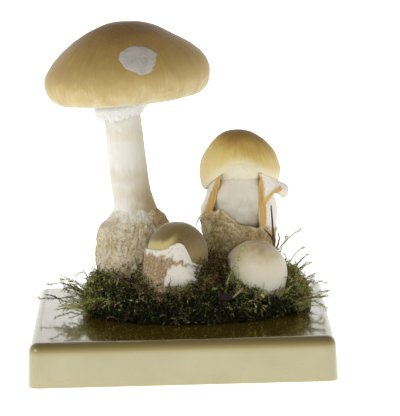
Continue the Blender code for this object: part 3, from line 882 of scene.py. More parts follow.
@dataclass
class Board:
    """Square moulded board with drawn-in sides and a rounded top edge."""

    side: float = 180.0
    height: float = 26.0
    draft: float = 1.0
    corner_round: float = 7.0
    top_round: float = 5.5
    foot_round: float = 0.4
    finish: Finish = MouldedPlastic("board_cream_plastic", "board", {
        "Roughness": 0.15, "Specular IOR Level": 0.7, "Coat Weight": 0.9, "Coat Roughness": 0.05,
        "Coat IOR": 1.7, "Coat Tint": (1.0, 0.97, 0.82, 1.0)})

    def build(self) -> None:
        """Model the board from a cube, by scaling its top and rounding its edges."""
        clear_selection()
        bpy.ops.mesh.primitive_cube_add(size=MM, location=(0, 0, self.height / 2 * MM))
        board = named("board_moulding")
        bpy.ops.transform.resize(value=(self.side, self.side, self.height))
        bpy.ops.object.transform_apply(location=True, scale=True)
        self.pick(board, lambda a, b: min(a.z, b.z) > self.height - 0.1)
        share = 1 - 2 * self.draft / self.side
        bpy.ops.transform.resize(value=(share, share, 1.0))
        bpy.ops.object.mode_set(mode="OBJECT")
        for wanted, width, segments in (
                (lambda a, b: abs(a.z - b.z) > 10, self.corner_round, 10),
                (lambda a, b: min(a.z, b.z) > self.height - 0.1, self.top_round, 10),
                (lambda a, b: max(a.z, b.z) < 0.1, self.foot_round, 2)):
            self.pick(board, wanted)
            bpy.ops.mesh.bevel(offset=width * MM, segments=segments, profile=0.5, affect="EDGES")
            bpy.ops.object.mode_set(mode="OBJECT")
        modify(board, "TRIANGULATE")
        hand_over(board, self.finish, "base_board", soft=False)

    def pick(self, board: Piece, wanted: Callable[[Vector, Vector], bool]) -> None:
        """Enter edit mode with only the edges selected whose ends fit a test.

        Args:
            board: Piece to select on.
            wanted: Test of an edge's two ends in millimetres.
        """
        take(board)
        bpy.ops.object.mode_set(mode="EDIT")
        bpy.ops.mesh.select_mode(type="EDGE")
        bpy.ops.mesh.select_all(action="DESELECT")
        bpy.ops.object.mode_set(mode="OBJECT")
        points = [v.co / MM for v in board.data.vertices]
        for edge in board.data.edges:
            edge.select = wanted(points[edge.vertices[0]], points[edge.vertices[1]])
        bpy.ops.object.mode_set(mode="EDIT")


@dataclass(frozen=True)
class Standing:
    """A fruit body seen from the ground: where it stands and its outer profile."""

    place: Pair
    outline: Profile

    def clearance(self, spot: Sequence[float]) -> float:
        """Measure how far a spot stands off the body's surface, at its own height."""
        away = math.hypot(spot[0] - self.place[0], spot[1] - self.place[1])
        return away - radius_at(self.outline, spot[2])

    def away(self, spot: Sequence[float]) -> Vector:
        """Point away from the body's axis."""
        return Vector((spot[0] - self.place[0], spot[1] - self.place[1], 0.0)).normalized()


@dataclass
class Ground:
    """Lie of the patch: an ellipse that rises towards the back, and what stands in it."""

    centre: Pair = (9, 6)
    flattening: float = 0.74
    floor: float = 26.0 + GAP
    rise: float = 0.06
    soil_reach: float = 51.6
    standing: list[Standing] = field(default_factory=list)

    def on_patch(self, point: Sequence[float], lumps: float = 0.0, size: float = 9.0) -> Triple:
        """Place a point of a turned form on the patch.

        Args:
            point: Point about the form's own axis.
            lumps: Height of the lumps on the surface.
            size: Size of the lumps.

        Returns:
            The point in the frame of the part.
        """
        x = point[0] + self.centre[0]
        y = point[1] * self.flattening + self.centre[1]
        height = point[2]
        if height > self.floor + 1:
            wave = lumps * rough((x, y, height), size)
            height += (self.rise * y + wave) * ramp(height, 30, 40)
        return (x, y, height)

    def clearance(self, spot: Sequence[float]) -> tuple[float, Vector]:
        """Find how near the nearest fruit body is, and the way that leads off it."""
        return min(((body.clearance(spot), body.away(spot)) for body in self.standing),
                   key=lambda pair: pair[0])

    def nearest(self, root: Vector, course: Vector, size: float,
                reaches: Sequence[float]) -> float:
        """Find how near a shoot of a size comes to a fruit body, at some spots along it."""
        return min(self.clearance(root + course * reach * size)[0] for reach in reaches)


@dataclass
class FullGrownBody:
    """The tall fruit body: cap, gills, ring, stem and granular sack."""

    place: Pair = (-28, 17)
    cap_centre: Triple = (-1.2, 0, 167.5)
    cap_tilt: float = math.radians(3.8)
    stem_lean: float = 0.085
    cap_outer: Profile = (
        (0, 32.9), (10, 31.7), (20, 28.2), (29.5, 22.9), (38, 17), (44.5, 11), (48.4, 5.2),
        (49.8, 0), (49.3, -5), (47.3, -9.8), (44, -12.6))
    cap_inner: Profile = (
        (42.4, -11.2), (43.2, -5), (42, 1), (38, 8), (31, 13.8), (23, 18), (17, 19.8), (9, 20),
        (0, 20))
    stem_side: Profile = (
        (9.2, 186), (10.1, 165), (10.6, 134), (10.8, 112), (11.2, 98), (12.6, 88), (15.2, 79),
        (18.2, 69), (19.6, 58), (18.6, 46), (13, 35.5))
    ring_side: Profile = (
        (10.9, 157.4), (13.4, 154), (16, 150.6), (16.2, 148.4), (14.6, 145.6), (13.2, 143.4))
    gills: int = 132
    gill_reach: Pair = (12.2, 41.6)
    scrap_size: Pair = (11.8, 11)
    scrap_place: Pair = (46.5, math.radians(-77))
    volva_top: float = 90.0
    volva_wall: float = 3.2
    volva_edge: float = 0.5

    def build(self) -> None:
        """Build every piece of the body."""
        self.build_cap()
        self.build_gills()
        self.build_patch()
        self.build_stem()
        self.build_ring()
        self.build_volva()

    def seat(self) -> Triple:
        """Give the cap's centre in the frame of the part."""
        return (self.place[0] + self.cap_centre[0], self.place[1], self.cap_centre[2])

    def lean(self, point: Sequence[float]) -> Vector:
        """Bend the foot and the stem: upright below, leaning left above.

        Args:
            point: Point of the upright body.

        Returns:
            The bent point.
        """
        height = point[2]
        across = 2.0 * ramp(height, 60, 88)
        across -= self.stem_lean * (height - 84.0) * ramp(height, 80, 96)
        tilt = self.stem_lean * ramp(height, 90, 110)
        return Vector((point[0] + across, point[1], height + tilt * point[0]))

    def build_cap(self) -> None:
        """Turn the cap and shape its fuller right shoulder, waves and radial fibres."""
        profile = curve(self.cap_outer, 7) + curve(self.cap_inner, 4)
        cap = lathe("tall_cap_flesh", profile, 256)

        def shape(point: Vector, run: float) -> Vector:
            """Fill out the right shoulder and raise waves and fibres."""
            radius, turn = math.hypot(point.x, point.y), math.atan2(point.y, point.x)
            bulge = 0.028 * math.exp(-((point.z - 13.0) / 9.0) ** 2) * ramp(radius, 26, 34)
            point.xy *= 1 + bulge * math.cos(turn)
            waves = 0.45 * rough(point, 16.0) + 0.16 * rough(point, 5.0, 4.0)
            fibre = 0.09 * rough((*round_about(point, 26.0).xy, radius / 14.0), 1.0)
            outwards = Vector((point.x, point.y, point.z * 1.6)).normalized()
            return point + outwards * (waves + fibre * ramp(radius, 4, 16))

        sculpt(cap, shape)
        carry(cap, self.seat(), -self.cap_tilt)
        stops = ((0.0, "6E4F1D"), (0.14, "7C5B24"), (0.27, "A07E41"), (0.37, "AA8E4F"),
                 (0.45, "BAA167"), (0.51, "D0BE8E"), (0.56, "E3D9B8"), (0.62, "EAE2C8"))
        hand_over(cap, CapSkin("tall_cap_skin", "cap_olive", SILK, centre=self.seat(),
                               tilt=-self.cap_tilt, fibres=34.0, stops=stops), "tall_cap")

    def build_gills(self) -> None:
        """Model one gill and one short gill, and copy them round the stem."""
        inner, outer = self.gill_reach
        pieces = []
        for number in range(2 * self.gills):
            short = number % 2
            columns = 12 if short else 22
            clear_selection()
            bpy.ops.mesh.primitive_grid_add(x_subdivisions=columns, y_subdivisions=3, size=2 * MM)
            gill = named("tall_gill")
            turn = number * math.pi / self.gills
            end = 0.45 if short else 1.0

            def hang(point: Vector, run: float) -> Vector:
                """Hang the blade from the cap and wave its edge."""
                inwards = end * (point.x + 1) / 2
                radius = outer - (outer - inner) * inwards
                x = radius * math.cos(turn) - 6.0 * inwards
                y = radius * math.sin(turn)
                ceiling = between(((r, z) for r, z in self.cap_inner[1:]), math.hypot(x, y)) - 0.1
                depth = 1.6 + 5.6 * ramp(inwards, 0.0, 0.4) - 2.6 * ramp(inwards, 0.6, 1.0)
                if short:
                    depth *= 0.85 * (1 - ramp(inwards, 0.25, 0.45))
                wave = 0.35 * math.sin(7 * inwards + number) * (1 - point.y) / 2
                return Vector((x - wave * math.sin(turn), y + wave * math.cos(turn),
                               ceiling - depth * (1 - point.y) / 2))

            sculpt(gill, hang)
            pieces.append(gill)
        gills = join(pieces)
        gills.name = gills.data.name = "tall_gill_blades"
        modify(gills, "SOLIDIFY", thickness=0.36 * MM, offset=0.0)
        carry(gills, self.seat(), -self.cap_tilt)
        hand_over(gills, Membrane("gill_white", "gills", THIN, base="E4DFCF", stain="CFC7AE",
                                  size=9.0), "tall_gills", soft=False)

    def build_patch(self) -> None:
        """Stick the ragged scrap of veil to the front of the cap."""
        rings = [(r / 14.0, 0.95 - 0.55 * ramp(r / 14.0, 0.6, 1.0)) for r in range(15)]
        profile = rings + [(1.0, 0.0), (0.6, 0.0), (0.0, 0.0)]
        patch = lathe("tall_cap_scrap", profile, 120)
        (across, along), (middle, direction) = self.scrap_size, self.scrap_place
        outer = curve(self.cap_outer, 7)

        def stick(point: Vector, run: float) -> Vector:
            """Lay the disc on the cap and tear its edge."""
            edge = round_about(point, 3.0)
            torn = 1 + 0.07 * rough(edge, 1.0, 5.0) + 0.03 * rough(edge * 4, 1.0, 2.0)
            torn -= 0.16 * max(point.x * point.y, 0.0)
            spot, normal = self.along_cap(outer, middle - along * torn * point.y)
            lift = 0.12 + point.z * (0.8 + 0.22 * grain(point * 11, 3.0))
            spot += normal * lift
            turn = direction + across * torn * point.x / spot.x
            return Vector((spot.x * math.cos(turn), spot.x * math.sin(turn), spot.y))

        sculpt(patch, stick)
        carry(patch, self.seat(), -self.cap_tilt)
        hand_over(patch, Membrane("scrap_grey_veil", "veil_grey", MATT, base="BAB4AB",
                                  stain="A79F90", thread="CBC7C0", size=3.4), "tall_veil_patch")

    def along_cap(self, outer: Profile, distance: float) -> tuple[Vector, Vector]:
        """Walk down the cap from its top.

        Args:
            outer: The cap's outer profile.
            distance: Way to walk.

        Returns:
            The point reached, as (radius, height), and the outward normal there.
        """
        for start, end in zip(outer, outer[1:]):
            step = Vector(end) - Vector(start)
            if distance <= step.length:
                normal = Vector((-step.y, step.x)).normalized()
                return Vector(start) + step * distance / step.length, normal
            distance -= step.length
        return Vector(outer[-1]), Vector((1.0, 0.0))

    def build_stem(self) -> None:
        """Turn the stem and raise its fibres and faint scaly bands."""
        side = curve(self.stem_side, 9)
        stem = lathe("tall_stem_flesh", [(0.0, side[0][1]), *side, (0.0, side[-1][1] - 2.6)], 150)

        def shape(point: Vector, run: float) -> Vector:
            """Raise fibres and scales, then lean the stem."""
            if math.hypot(point.x, point.y) < 2.0:
                return self.lean(point)
            fibre = rough((*round_about(point, 8.0).xy, point.z / 24.0), 1.0)
            fine = rough((*round_about(point, 24.0).xy, point.z / 9.0), 1.0, 6.0)
            scale = max(grain((*round_about(point, 5.0).xy, point.z / 2.4), 1.0, 9.0), 0.0)
            free = ramp(point.z, 84, 104)
            point.xy *= 1 + (0.22 * fibre + 0.10 * fine + 0.35 * scale + 0.45 * free) / 11.0
            point.x -= 1.5 * free
            return self.lean(point)

        sculpt(stem, shape)
        carry(stem, (*self.place, 0.0))
        axis = (self.place[0] - 4.0, self.place[1], 0.0)
        bands = ((133.0, 5.0, "C9B880", 0.28), (107.0, 6.0, "C2AE7C", 0.34),
                 (96.0, 6.0, "C4B180", 0.25))
        hand_over(stem, Flesh("tall_stem_white", "stem", SOFT, centre=axis, bands=bands, shade_and_stain=0.8,
                              fibres=6.0, base="E8E4DA", streak="D3CCBA"), "tall_stem")

    def build_ring(self) -> None:
        """Turn the skirt, pleat it, tear its hem and give it thickness."""
        ring = lathe("tall_ring_skirt", curve(self.ring_side, 9), 260)

        def shape(point: Vector, run: float) -> Vector:
            """Pleat the skirt and let its hem hang unevenly."""
            low = ramp(run, 0.25, 1.0)
            turn = math.atan2(point.y, point.x)
            pleat = 0.22 * math.sin(34 * turn + 5 * rough(round_about(point, 2.0), 1.0)) * low
            flare = 0.8 * rough(round_about(point, 2.4), 1.0, 8.0) * low
            hem = rough(round_about(point, 3.6), 1.0)
            hem += 0.6 * rough(round_about(point, 12.0), 1.0, 4.0)
            drop = low * (1.9 * hem + 1.6 * point.x / 16.0)
            reach = point.xy.normalized() * (pleat + flare)
            return self.lean((point.x + reach.x - 2.6 * low, point.y + reach.y, point.z + drop))

        sculpt(ring, shape)
        modify(ring, "SOLIDIFY", thickness=0.55 * MM, offset=0.0)
        carry(ring, (*self.place, 0.0))
        hand_over(ring, Membrane("ring_white_veil", "ring", THIN, base="F7F5EF", stain="E2DCC8",
                                 size=4.0), "tall_ring")

    def build_volva(self) -> None:
        """Turn the sack and shape its crumbs, cracks and torn edge."""
        side = curve(self.stem_side, 8)
        inner = offset([p for p in side if p[1] <= self.volva_top], 0.1)
        top = self.volva_top
        growth = self.volva_wall - self.volva_edge
        outer = [(r + self.volva_edge + growth * ramp(z, top, top - 14), z) for r, z in inner[:-1]]
        low = inner[-1]
        profile = [(0.0, low[1] - 1.0), *inner[::-1], *outer, (low[0] + 2.6, low[1] - 2.4),
                   (low[0] * 0.6, low[1] - 3.8), (0.0, low[1] - 4.4)]
        volva = lathe("tall_sack", profile, 230)

        def shape(point: Vector, run: float) -> Vector:
            """Raise crumbs, cut cracks and tear the edge."""
            radius, height = math.hypot(point.x, point.y), point.z
            if height < 36:
                return self.lean(point)
            turn = math.atan2(point.y, point.x)
            thick = radius - radius_at(inner, height)
            outside = thick > 0.4
            torn = 3.0 + 2.6 * rough(round_about(point, 2.2), 1.0)
            torn += 0.9 * rough(round_about(point, 8.0), 1.0, 5)
            drop = ramp(height, 68, top) * torn
            lumps = swell = 0.0
            if outside:
                lumps = 0.9 * rough(point, 4.5) + 0.9 * grain(point, 2.0, 4.0)
                crack = abs(rough((*round_about(point, 7.0).xy, point.z / 16.0), 1.0, 12.0))
                lumps -= 0.9 * ramp(crack, 0.10, 0.0)
                swell = 2.2 * ramp(height, 66, 78) * ramp(height, 90, 84) * max(math.cos(turn), 0.0)
                left = ramp(-math.cos(turn), 0.35, 0.9)
                swell += 2.0 * ramp(height, 81.0, 79.4) * ramp(height, 62, 76) * left
                lumps *= 1 - 0.6 * ramp(height, top - 7, top)
                lumps -= 1.1 * ramp(height, top - 4.5, top) * ramp(point.x, 14, 8)
            radius = radius_at(inner, height - drop) + thick + lumps + swell
            return self.lean((radius * math.cos(turn), radius * math.sin(turn), height - drop))

        def earth(point: Vector, run: float) -> float:
            """Measure the soil: at the foot, and at the upper right."""
            return (0.15 + 0.7 * ramp(point.z, 60, 44) + 0.35 * rough(point, 12.0)
                    + 1.1 * ramp(point.x, 9, 16) * ramp(point.z, 62, 72))

        def bare(point: Vector, run: float) -> float:
            """Measure how bare the flesh is near the torn edge."""
            edge = point.z + 6 * rough(point, 4.0) + 5 * grain(point, 1.5)
            return 0.8 * ramp(edge, 73, 88) * ramp(point.x, 14, 6)

        sculpt(volva, shape)
        tag(volva, "earth", earth)
        tag(volva, "bare", bare)
        carry(volva, (*self.place, 0.0))
        hand_over(volva, Crust("tall_sack_crust", "volva", MATT, centre=(*self.place, 0.0),
                               flesh="E8E4D6", soil="C4A674"), "tall_volva")


@dataclass
class HalfGrownBody:
    """The young fruit body: arched cap, veil, stem, and a sack torn open in front."""

    place: Pair = (36.6, 27)
    shoulder: float = 115.0
    rim: dict[str, float] = field(default_factory=lambda: {
        "front": 112.4, "left": 95.4, "right": 100.5, "back": 91.0})
    cap_outer: Profile = (
        (0, 131.6), (6, 130.9), (11.5, 128.2), (16.4, 123.6), (20.6, 117.5), (23, 111),
        (23.6, 105.5), (22.8, 99.5), (21.6, 96.8), (20.4, 95.8))
    cap_inner: Profile = (
        (19.2, 96.4), (19.4, 99), (20.4, 104), (19.4, 112), (15.5, 116.8), (8, 118.4), (0, 118.4))
    stem_side: Profile = (
        (11.4, 117.6), (11.8, 107), (13, 96), (14.6, 85), (16, 74), (17.2, 62), (16.6, 48),
        (12, 36))
    volva_outer: Profile = (
        (19.2, 112), (20, 102), (21.4, 94), (22.9, 87), (23.2, 79.5), (22.2, 70), (20.9, 58),
        (19.6, 46), (14.6, 33), (0, 30))
    volva_inner: Profile = ((20.6, 80), (20.6, 87), (18.6, 94), (17.6, 102), (17, 112))
    veil: Profile = (
        (17.6, 113.4), (14.6, 108.4), (12.9, 104.2), (12, 103.8), (11.6, 106.2), (13.2, 110.4),
        (16, 114))
    window: Profile = (
        (-16.7, 82.6), (-13, 85.6), (-10.6, 85.8), (-7.6, 83.3), (-3.5, 79.5), (0, 76.7), (6, 75.6),
        (11.4, 73.9), (11.2, 78.5), (11.1, 87.7), (11, 96.8), (11.8, 102.9), (14, 109), (12, 119),
        (-8, 119), (-10.2, 106.5), (-11.8, 98.6), (-13.8, 91.4))
    torn_edge: Profile = ((-21, 80), (-17, 82.6), (-11, 86), (-4, 80), (4, 76), (12, 74), (22, 72))
    left_strip: Profile = ((-9.8, 107), (-12.2, 99.7), (-15, 92.5), (-17.6, 85.2), (-20.2, 78.5))
    right_strip: Profile = (
        (11.6, 104), (12.4, 96.6), (12.7, 90.5), (13.6, 83.1), (13.4, 77), (12, 73.4))
    right_arm: Profile = ((13.8, 88), (16.4, 91), (20.4, 94.4), (24, 96.4))
    membrane: tuple[tuple[Triple, ...], ...] = (
        ((11.8, -17.4, 107.4), (16.6, -14.4, 105), (20.6, -9.6, 102.4), (24, -6.6, 100.2),
         (27.4, -6.4, 98.6)),
        ((12.6, -17.8, 100.5), (17, -16, 99.6), (21.4, -12.4, 98.8), (25.8, -9.2, 97),
         (30, -8, 95.4)),
        ((13.6, -17.4, 91), (16.8, -16.4, 91.8), (20.8, -13.4, 94), (24.8, -10.4, 92.6),
         (28.4, -8.8, 89.8)))

    def build(self) -> None:
        """Build every piece of the body."""
        self.build_cap()
        self.build_veil()
        self.build_stem()
        self.build_volva()

    def rim_height(self, point: Sequence[float]) -> float:
        """Find the height of the cap's rim: arched up in front, lowest at the back.

        Args:
            point: Point about the body's own axis.

        Returns:
            The height.
        """
        turn = math.radians(from_front(point))
        aside, ahead = math.sin(turn), math.cos(turn)
        side = self.rim["left"] if aside > 0 else self.rim["right"]
        if ahead > 0:
            return self.rim["front"] + (side - self.rim["front"]) * abs(aside) ** 1.6
        return side + (self.rim["back"] - side) * ramp(-ahead, 0.0, 1.0)

    def build_cap(self) -> None:
        """Turn the bell, arch its rim, mark the cream margin and paint shade on its upper right
        side.
        """
        outer = curve(self.cap_outer, 8)
        cap = lathe("young_cap_flesh", outer + curve(self.cap_inner, 5), 200)
        lowest = min(z for _, z in self.cap_outer)
        depth = self.shoulder - lowest

        def shape(point: Vector, run: float) -> Vector:
            """Arch the rim up in front and fill out the right."""
            below = self.shoulder - point.z
            fibre = 0.06 * rough((*round_about(point, 18.0).xy, run * 4), 1.0)
            lumps = 0.3 * rough(point, 9.0) + fibre
            point += Vector((point.x, point.y, 6.0)).normalized() * lumps
            upper = 0.08 * ramp(point.z, 131, 124) * ramp(point.z, 94, 118)
            right = 1 + (0.05 * ramp(below, 0, 12) + upper) * ramp(point.x, 0, 18)
            if below <= 0:
                return Vector((point.x * right, point.y, point.z))
            height = self.shoulder - below * (self.shoulder - self.rim_height(point)) / depth
            ragged = 0.5 * rough(round_about(point, 5.0), 1.0) * ramp(below, 10, 19)
            radius = math.hypot(point.x, point.y)
            wider = 1 + (radius_at(outer, height) - radius_at(outer, point.z)) / radius
            return Vector((point.x * wider * right, point.y * wider, height + ragged))

        def margin(point: Vector, run: float) -> float:
            """Measure how cream the skin is near the rim."""
            ahead = max(-point.y, 0.0) / 22.0
            above = point.z - self.rim_height(point) + 1.2 * rough(point, 4.0)
            return 0.9 * ramp(above, 2.8 + 5.2 * ahead, 0.2) if run < 0.7 else 0.9

        sculpt(cap, shape)
        tag(cap, "margin", margin)
        # Painted shade: on the upper cap the run is pulled towards the darker crown colours on the
        # right side.
        tag(cap, "run", lambda p, run: run - 0.003 * (p.x + 2) * ramp(p.z, 104, 116))
        carry(cap, (*self.place, 0.0))
        stops = ((0.0, "8A682C"), (0.12, "A07C38"), (0.20, "C8A454"), (0.29, "E2C97C"),
                 (0.40, "E4D090"), (0.50, "E9DAAC"), (0.60, "F0E8CE"), (0.66, "EAE2CC"))
        skin = CapSkin("young_cap_skin", "young_cap", SILK, centre=(*self.place, 0.0), stops=stops,
                       fibres=18.0, streaks="6B4E20", margin="ECE0BE")
        hand_over(cap, skin, "young_cap")

    def build_veil(self) -> None:
        """Turn the cream membrane between the rim and the stem."""
        veil = lathe("young_veil_membrane", curve(self.veil, 5)[:-1], 150, closed=True)

        def shape(point: Vector, run: float) -> Vector:
            """Pull folds into the membrane and widen it below."""
            pull = 0.25 * rough((*round_about(point, 9.0).xy, point.z / 8), 1.0)
            point += Vector((0.0, 0.0, 0.6 * pull)) + point.xy.normalized().to_3d() * pull
            return self.fuller(point, ramp(math.hypot(point.x, point.y), 22.6, 12.6), 0.8)

        sculpt(veil, shape)
        carry(veil, (*self.place, 0.0))
        hand_over(veil, Membrane("young_veil_cream", "young_veil", THIN, base="F0E7CF",
                                 stain="E2D5B2", size=7.0), "young_veil")

    def build_stem(self) -> None:
        """Turn the smooth pale stem."""
        side = curve(self.stem_side, 8)
        stem = lathe("young_stem_flesh", [(0.0, side[0][1]), *side, (0.0, side[-1][1] - 2.4)], 130)

        def shape(point: Vector, run: float) -> Vector:
            """Raise fibres and widen the stem in the window."""
            fibre = rough((*round_about(point, 9.0).xy, point.z / 26.0), 1.0)
            fine = rough((*round_about(point, 26.0).xy, point.z / 12.0), 1.0, 6.0)
            point.xy *= 1 + (0.10 * fibre + 0.04 * fine) / 11.0
            return self.fuller(point, ramp(point.z, 71, 80), 0.8 * ramp(point.z, 86, 104))

        sculpt(stem, shape)
        carry(stem, (*self.place, 0.0))
        hand_over(stem, Flesh("young_stem_silk", "young_stem", SOFT, centre=(*self.place, 0.0),
                              base="DDD6C5", streak="CFC7B2", fibres=7.0,
                              bands=((70.0, 22.0, "94876A", 0.8),)), "young_stem")

    def fuller(self, point: Vector, share: float, right: float) -> Vector:
        """Widen the stem towards the window that frames it.

        Args:
            point: Point of the stem or the veil.
            share: How far it is widened, from 0 to 1.
            right: Shift to the right in millimetres.

        Returns:
            The moved point.
        """
        across = abs(point.x) / math.hypot(point.x, point.y, 0.1)
        low = 79 + 7 * ramp(-point.x, 0, 6)
        sides = 0.25 + (0.6 + 0.35 * ramp(point.z, 105, 99)) * ramp(point.z, low, low + 8)
        flush = 0.36 + sides * across ** 2
        ahead = 1 + flush * share * ramp(-point.y, -1, 4)
        aside = 1 + (0.16 + 0.08 * ramp(-point.x, 4, 12)) * share
        return Vector((point.x * aside + right, point.y * ahead, point.z))

    def build_volva(self) -> None:
        """Turn the sack, cut its window, add the membrane, fuse, and shape the torn crust."""
        foot = offset(self.stem_side, GAP)
        inside = [p for p in foot if p[1] < 64][::-1] + list(self.volva_inner)
        inner = [(0.0, 33.6), *curve(inside, 6)]
        sack = lathe("young_sack", inner + curve(self.volva_outer, 7), 150)
        full, even = self.volva_outer[0][1], 84.0

        def up_to_rim(point: Vector, run: float) -> Vector:
            """Stretch the sack's upper edge to the cap's rim."""
            if point.z > even:
                share = (point.z - even) / (full - even)
                reach = radius_at(self.volva_outer, point.z)
                point.z = even + share * (self.rim_height(point) + 0.6 - even)
                wider = (radius_at(self.cap_outer, point.z) - 1.3) / reach
                point.xy *= 1 + max(wider - 1, 0.0) * ramp(share, 0.1, 0.9)
            return point

        sculpt(sack, up_to_rim)
        self.cut_window(sack)
        sack = join([sack, self.torn_membrane()])
        modify(sack, "REMESH", mode="VOXEL", voxel_size=0.6 * MM)
        modify(sack, "CORRECTIVE_SMOOTH", factor=0.5, iterations=8, smooth_type="SIMPLE")
        self.tag_faces(sack)
        torn = read_value(sack, "torn")
        write_value(sack, "run", torn)

        def weathered(point: Vector, run: float) -> Vector:
            """Roughen the outside and swell the torn faces."""
            radius = math.hypot(point.x, point.y)
            if radius < self.middle_radius(inside, point.z) or point.z < 34:
                return point
            crust = self.crusty(point)
            lumps = 0.35 * rough(point, 6.0) + (0.08 + 1.0 * crust) * grain(point, 2.4, 2.0)
            lumps += 1.4 * crust * rough(point, 5.0, 5.0)
            return point + point.xy.normalized().to_3d() * (lumps * (1 - run) + 0.9 * run)

        sculpt(sack, weathered)
        carry(sack, (*self.place, 0.0))
        # Pale ochre on the torn faces: their own tint with a painted glow of light shining through.
        hand_over(sack, Crust("young_sack_crust", "young_volva", {**MATT, **THIN},
                              centre=(*self.place, 0.0), pale="E4D3AA", dusty="CAB17C",
                              soil="AE9158", crack="7E6434", flesh="F2ECE2",
                              ochre=("C4984C", "D8B873")), "young_volva")

    def middle_radius(self, inside: Profile, height: float) -> float:
        """Find the radius half way through the sack's wall."""
        return 0.5 * (radius_at(self.volva_outer, height) + radius_at(inside, height))

    def crusty(self, point: Vector) -> float:
        """Measure how granular the sack is: below its torn edge, and most in front.

        Args:
            point: Point about the body's own axis.

        Returns:
            0 where it is bare and 1 where it is granular.
        """
        edge = between(self.torn_edge, point.x)
        edge += 6 * ramp(point.y, 0, 12) + 2.0 * rough(point, 4.0)
        return ramp(point.z, edge + 1.5, edge - 1.0)

    def tag_faces(self, sack: Piece) -> None:
        """Mark the ochre torn faces, the bare membrane and the earthy low front.

        Args:
            sack: The sack, about its own axis.
        """
        strips = ((self.left_strip, 3.0), (self.right_strip, 2.7), (self.right_arm, 1.9))

        def torn(point: Vector, run: float) -> float:
            """Measure how near the ochre torn strips are."""
            if point.y > 2:
                return 0.0
            fray = 0.4 * rough(point, 2.0)
            near = max(ramp(self.off_line(point, strip) + fray, half + 0.5, half - 1.1)
                       for strip, half in strips)
            return near * (1 - self.crusty(point)) * ramp(-point.y, 3.0, 6.0)

        def earth(point: Vector, run: float) -> float:
            """Measure the soil on the crust."""
            return self.crusty(point) * (0.55 + 0.5 * rough(point, 6.0))

        tag(sack, "torn", torn)
        tag(sack, "earth", earth)
        tag(sack, "bare", lambda point, run: 0.94 * (1 - self.crusty(point)))

    def off_line(self, point: Vector, line: Profile) -> float:
        """Measure the distance, seen from the front, from a point to a line of points.

        Args:
            point: Point about the body's own axis.
            line: Points as (x, z).

        Returns:
            The distance.
        """
        spot = Vector((point.x, point.z))
        nearest = 1e9
        for start, end in zip(line, line[1:]):
            begin, along = Vector(start), Vector(end) - Vector(start)
            share = min(max((spot - begin).dot(along) / along.length_squared, 0.0), 1.0)
            nearest = min(nearest, (spot - begin - along * share).length)
        return nearest

    def cut_window(self, sack: Piece) -> None:
        """Cut the window with a prism drawn through the sack's front.

        Args:
            sack: Piece to cut.
        """
        clear_selection()
        bpy.ops.mesh.primitive_plane_add(size=MM, location=(0, 0, 0))
        cutter = named("young_window")
        outline = curve([*self.window, self.window[0]], 3)[:-1]
        bpy.ops.object.mode_set(mode="EDIT")
        bpy.ops.mesh.select_mode(type="VERT")
        bpy.ops.mesh.merge(type="CENTER")
        start = outline[0]
        bpy.ops.transform.translate(value=(start[0] * MM, -31 * MM, start[1] * MM))
        for (x0, z0), (x1, z1) in zip(outline, outline[1:]):
            bpy.ops.mesh.extrude_region_move(
                TRANSFORM_OT_translate={"value": ((x1 - x0) * MM, 0.0, (z1 - z0) * MM)})
        bpy.ops.mesh.select_all(action="SELECT")
        bpy.ops.mesh.edge_face_add()
        bpy.ops.mesh.extrude_region_move(TRANSFORM_OT_translate={"value": (0.0, 30 * MM, 0.0)})
        bpy.ops.mesh.select_all(action="SELECT")
        bpy.ops.mesh.normals_make_consistent(inside=False)
        bpy.ops.object.mode_set(mode="OBJECT")
        modify(sack, "BOOLEAN", operation="DIFFERENCE", object=cutter, solver="EXACT")
        bpy.data.objects.remove(cutter)

    def torn_membrane(self) -> Piece:
        """Model the membrane that runs from the rim to the turned-out flap at the right.

        Returns:
            The membrane with its thickness.
        """
        clear_selection()
        bpy.ops.mesh.primitive_grid_add(x_subdivisions=40, y_subdivisions=24, size=2 * MM)
        sheet = named("young_membrane")
        rows = [[curve([p[:2] for p in row], 10), curve([(p[0], p[2]) for p in row], 10)]
                for row in self.membrane]

        def hang(point: Vector, run: float) -> Vector:
            """Lay the sheet through its three rows and fray its end."""
            along, down = (point.x + 1) / 2, (1 - point.y) / 2
            spot = min(int(along * 40), 40)
            high, middle, low = [Vector((*row[0][spot], row[1][spot][1])) for row in rows]
            place = high * (1 - down) * (1 - 2 * down) + middle * 4 * down * (1 - down)
            place += low * down * (2 * down - 1)
            torn = 0.9 * ramp(along, 0.5, 1.0) + 0.5 * ramp(down, 0.6, 1.0)
            place.x += torn * rough(place, 3.0, 4.0)
            place.z += torn * rough(place, 3.0, 9.0)
            place.y += 0.5 * rough(place, 4.0, 2.0)
            return place

        sculpt(sheet, hang)
        return modify(sheet, "SOLIDIFY", thickness=1.5 * MM, offset=0.0)


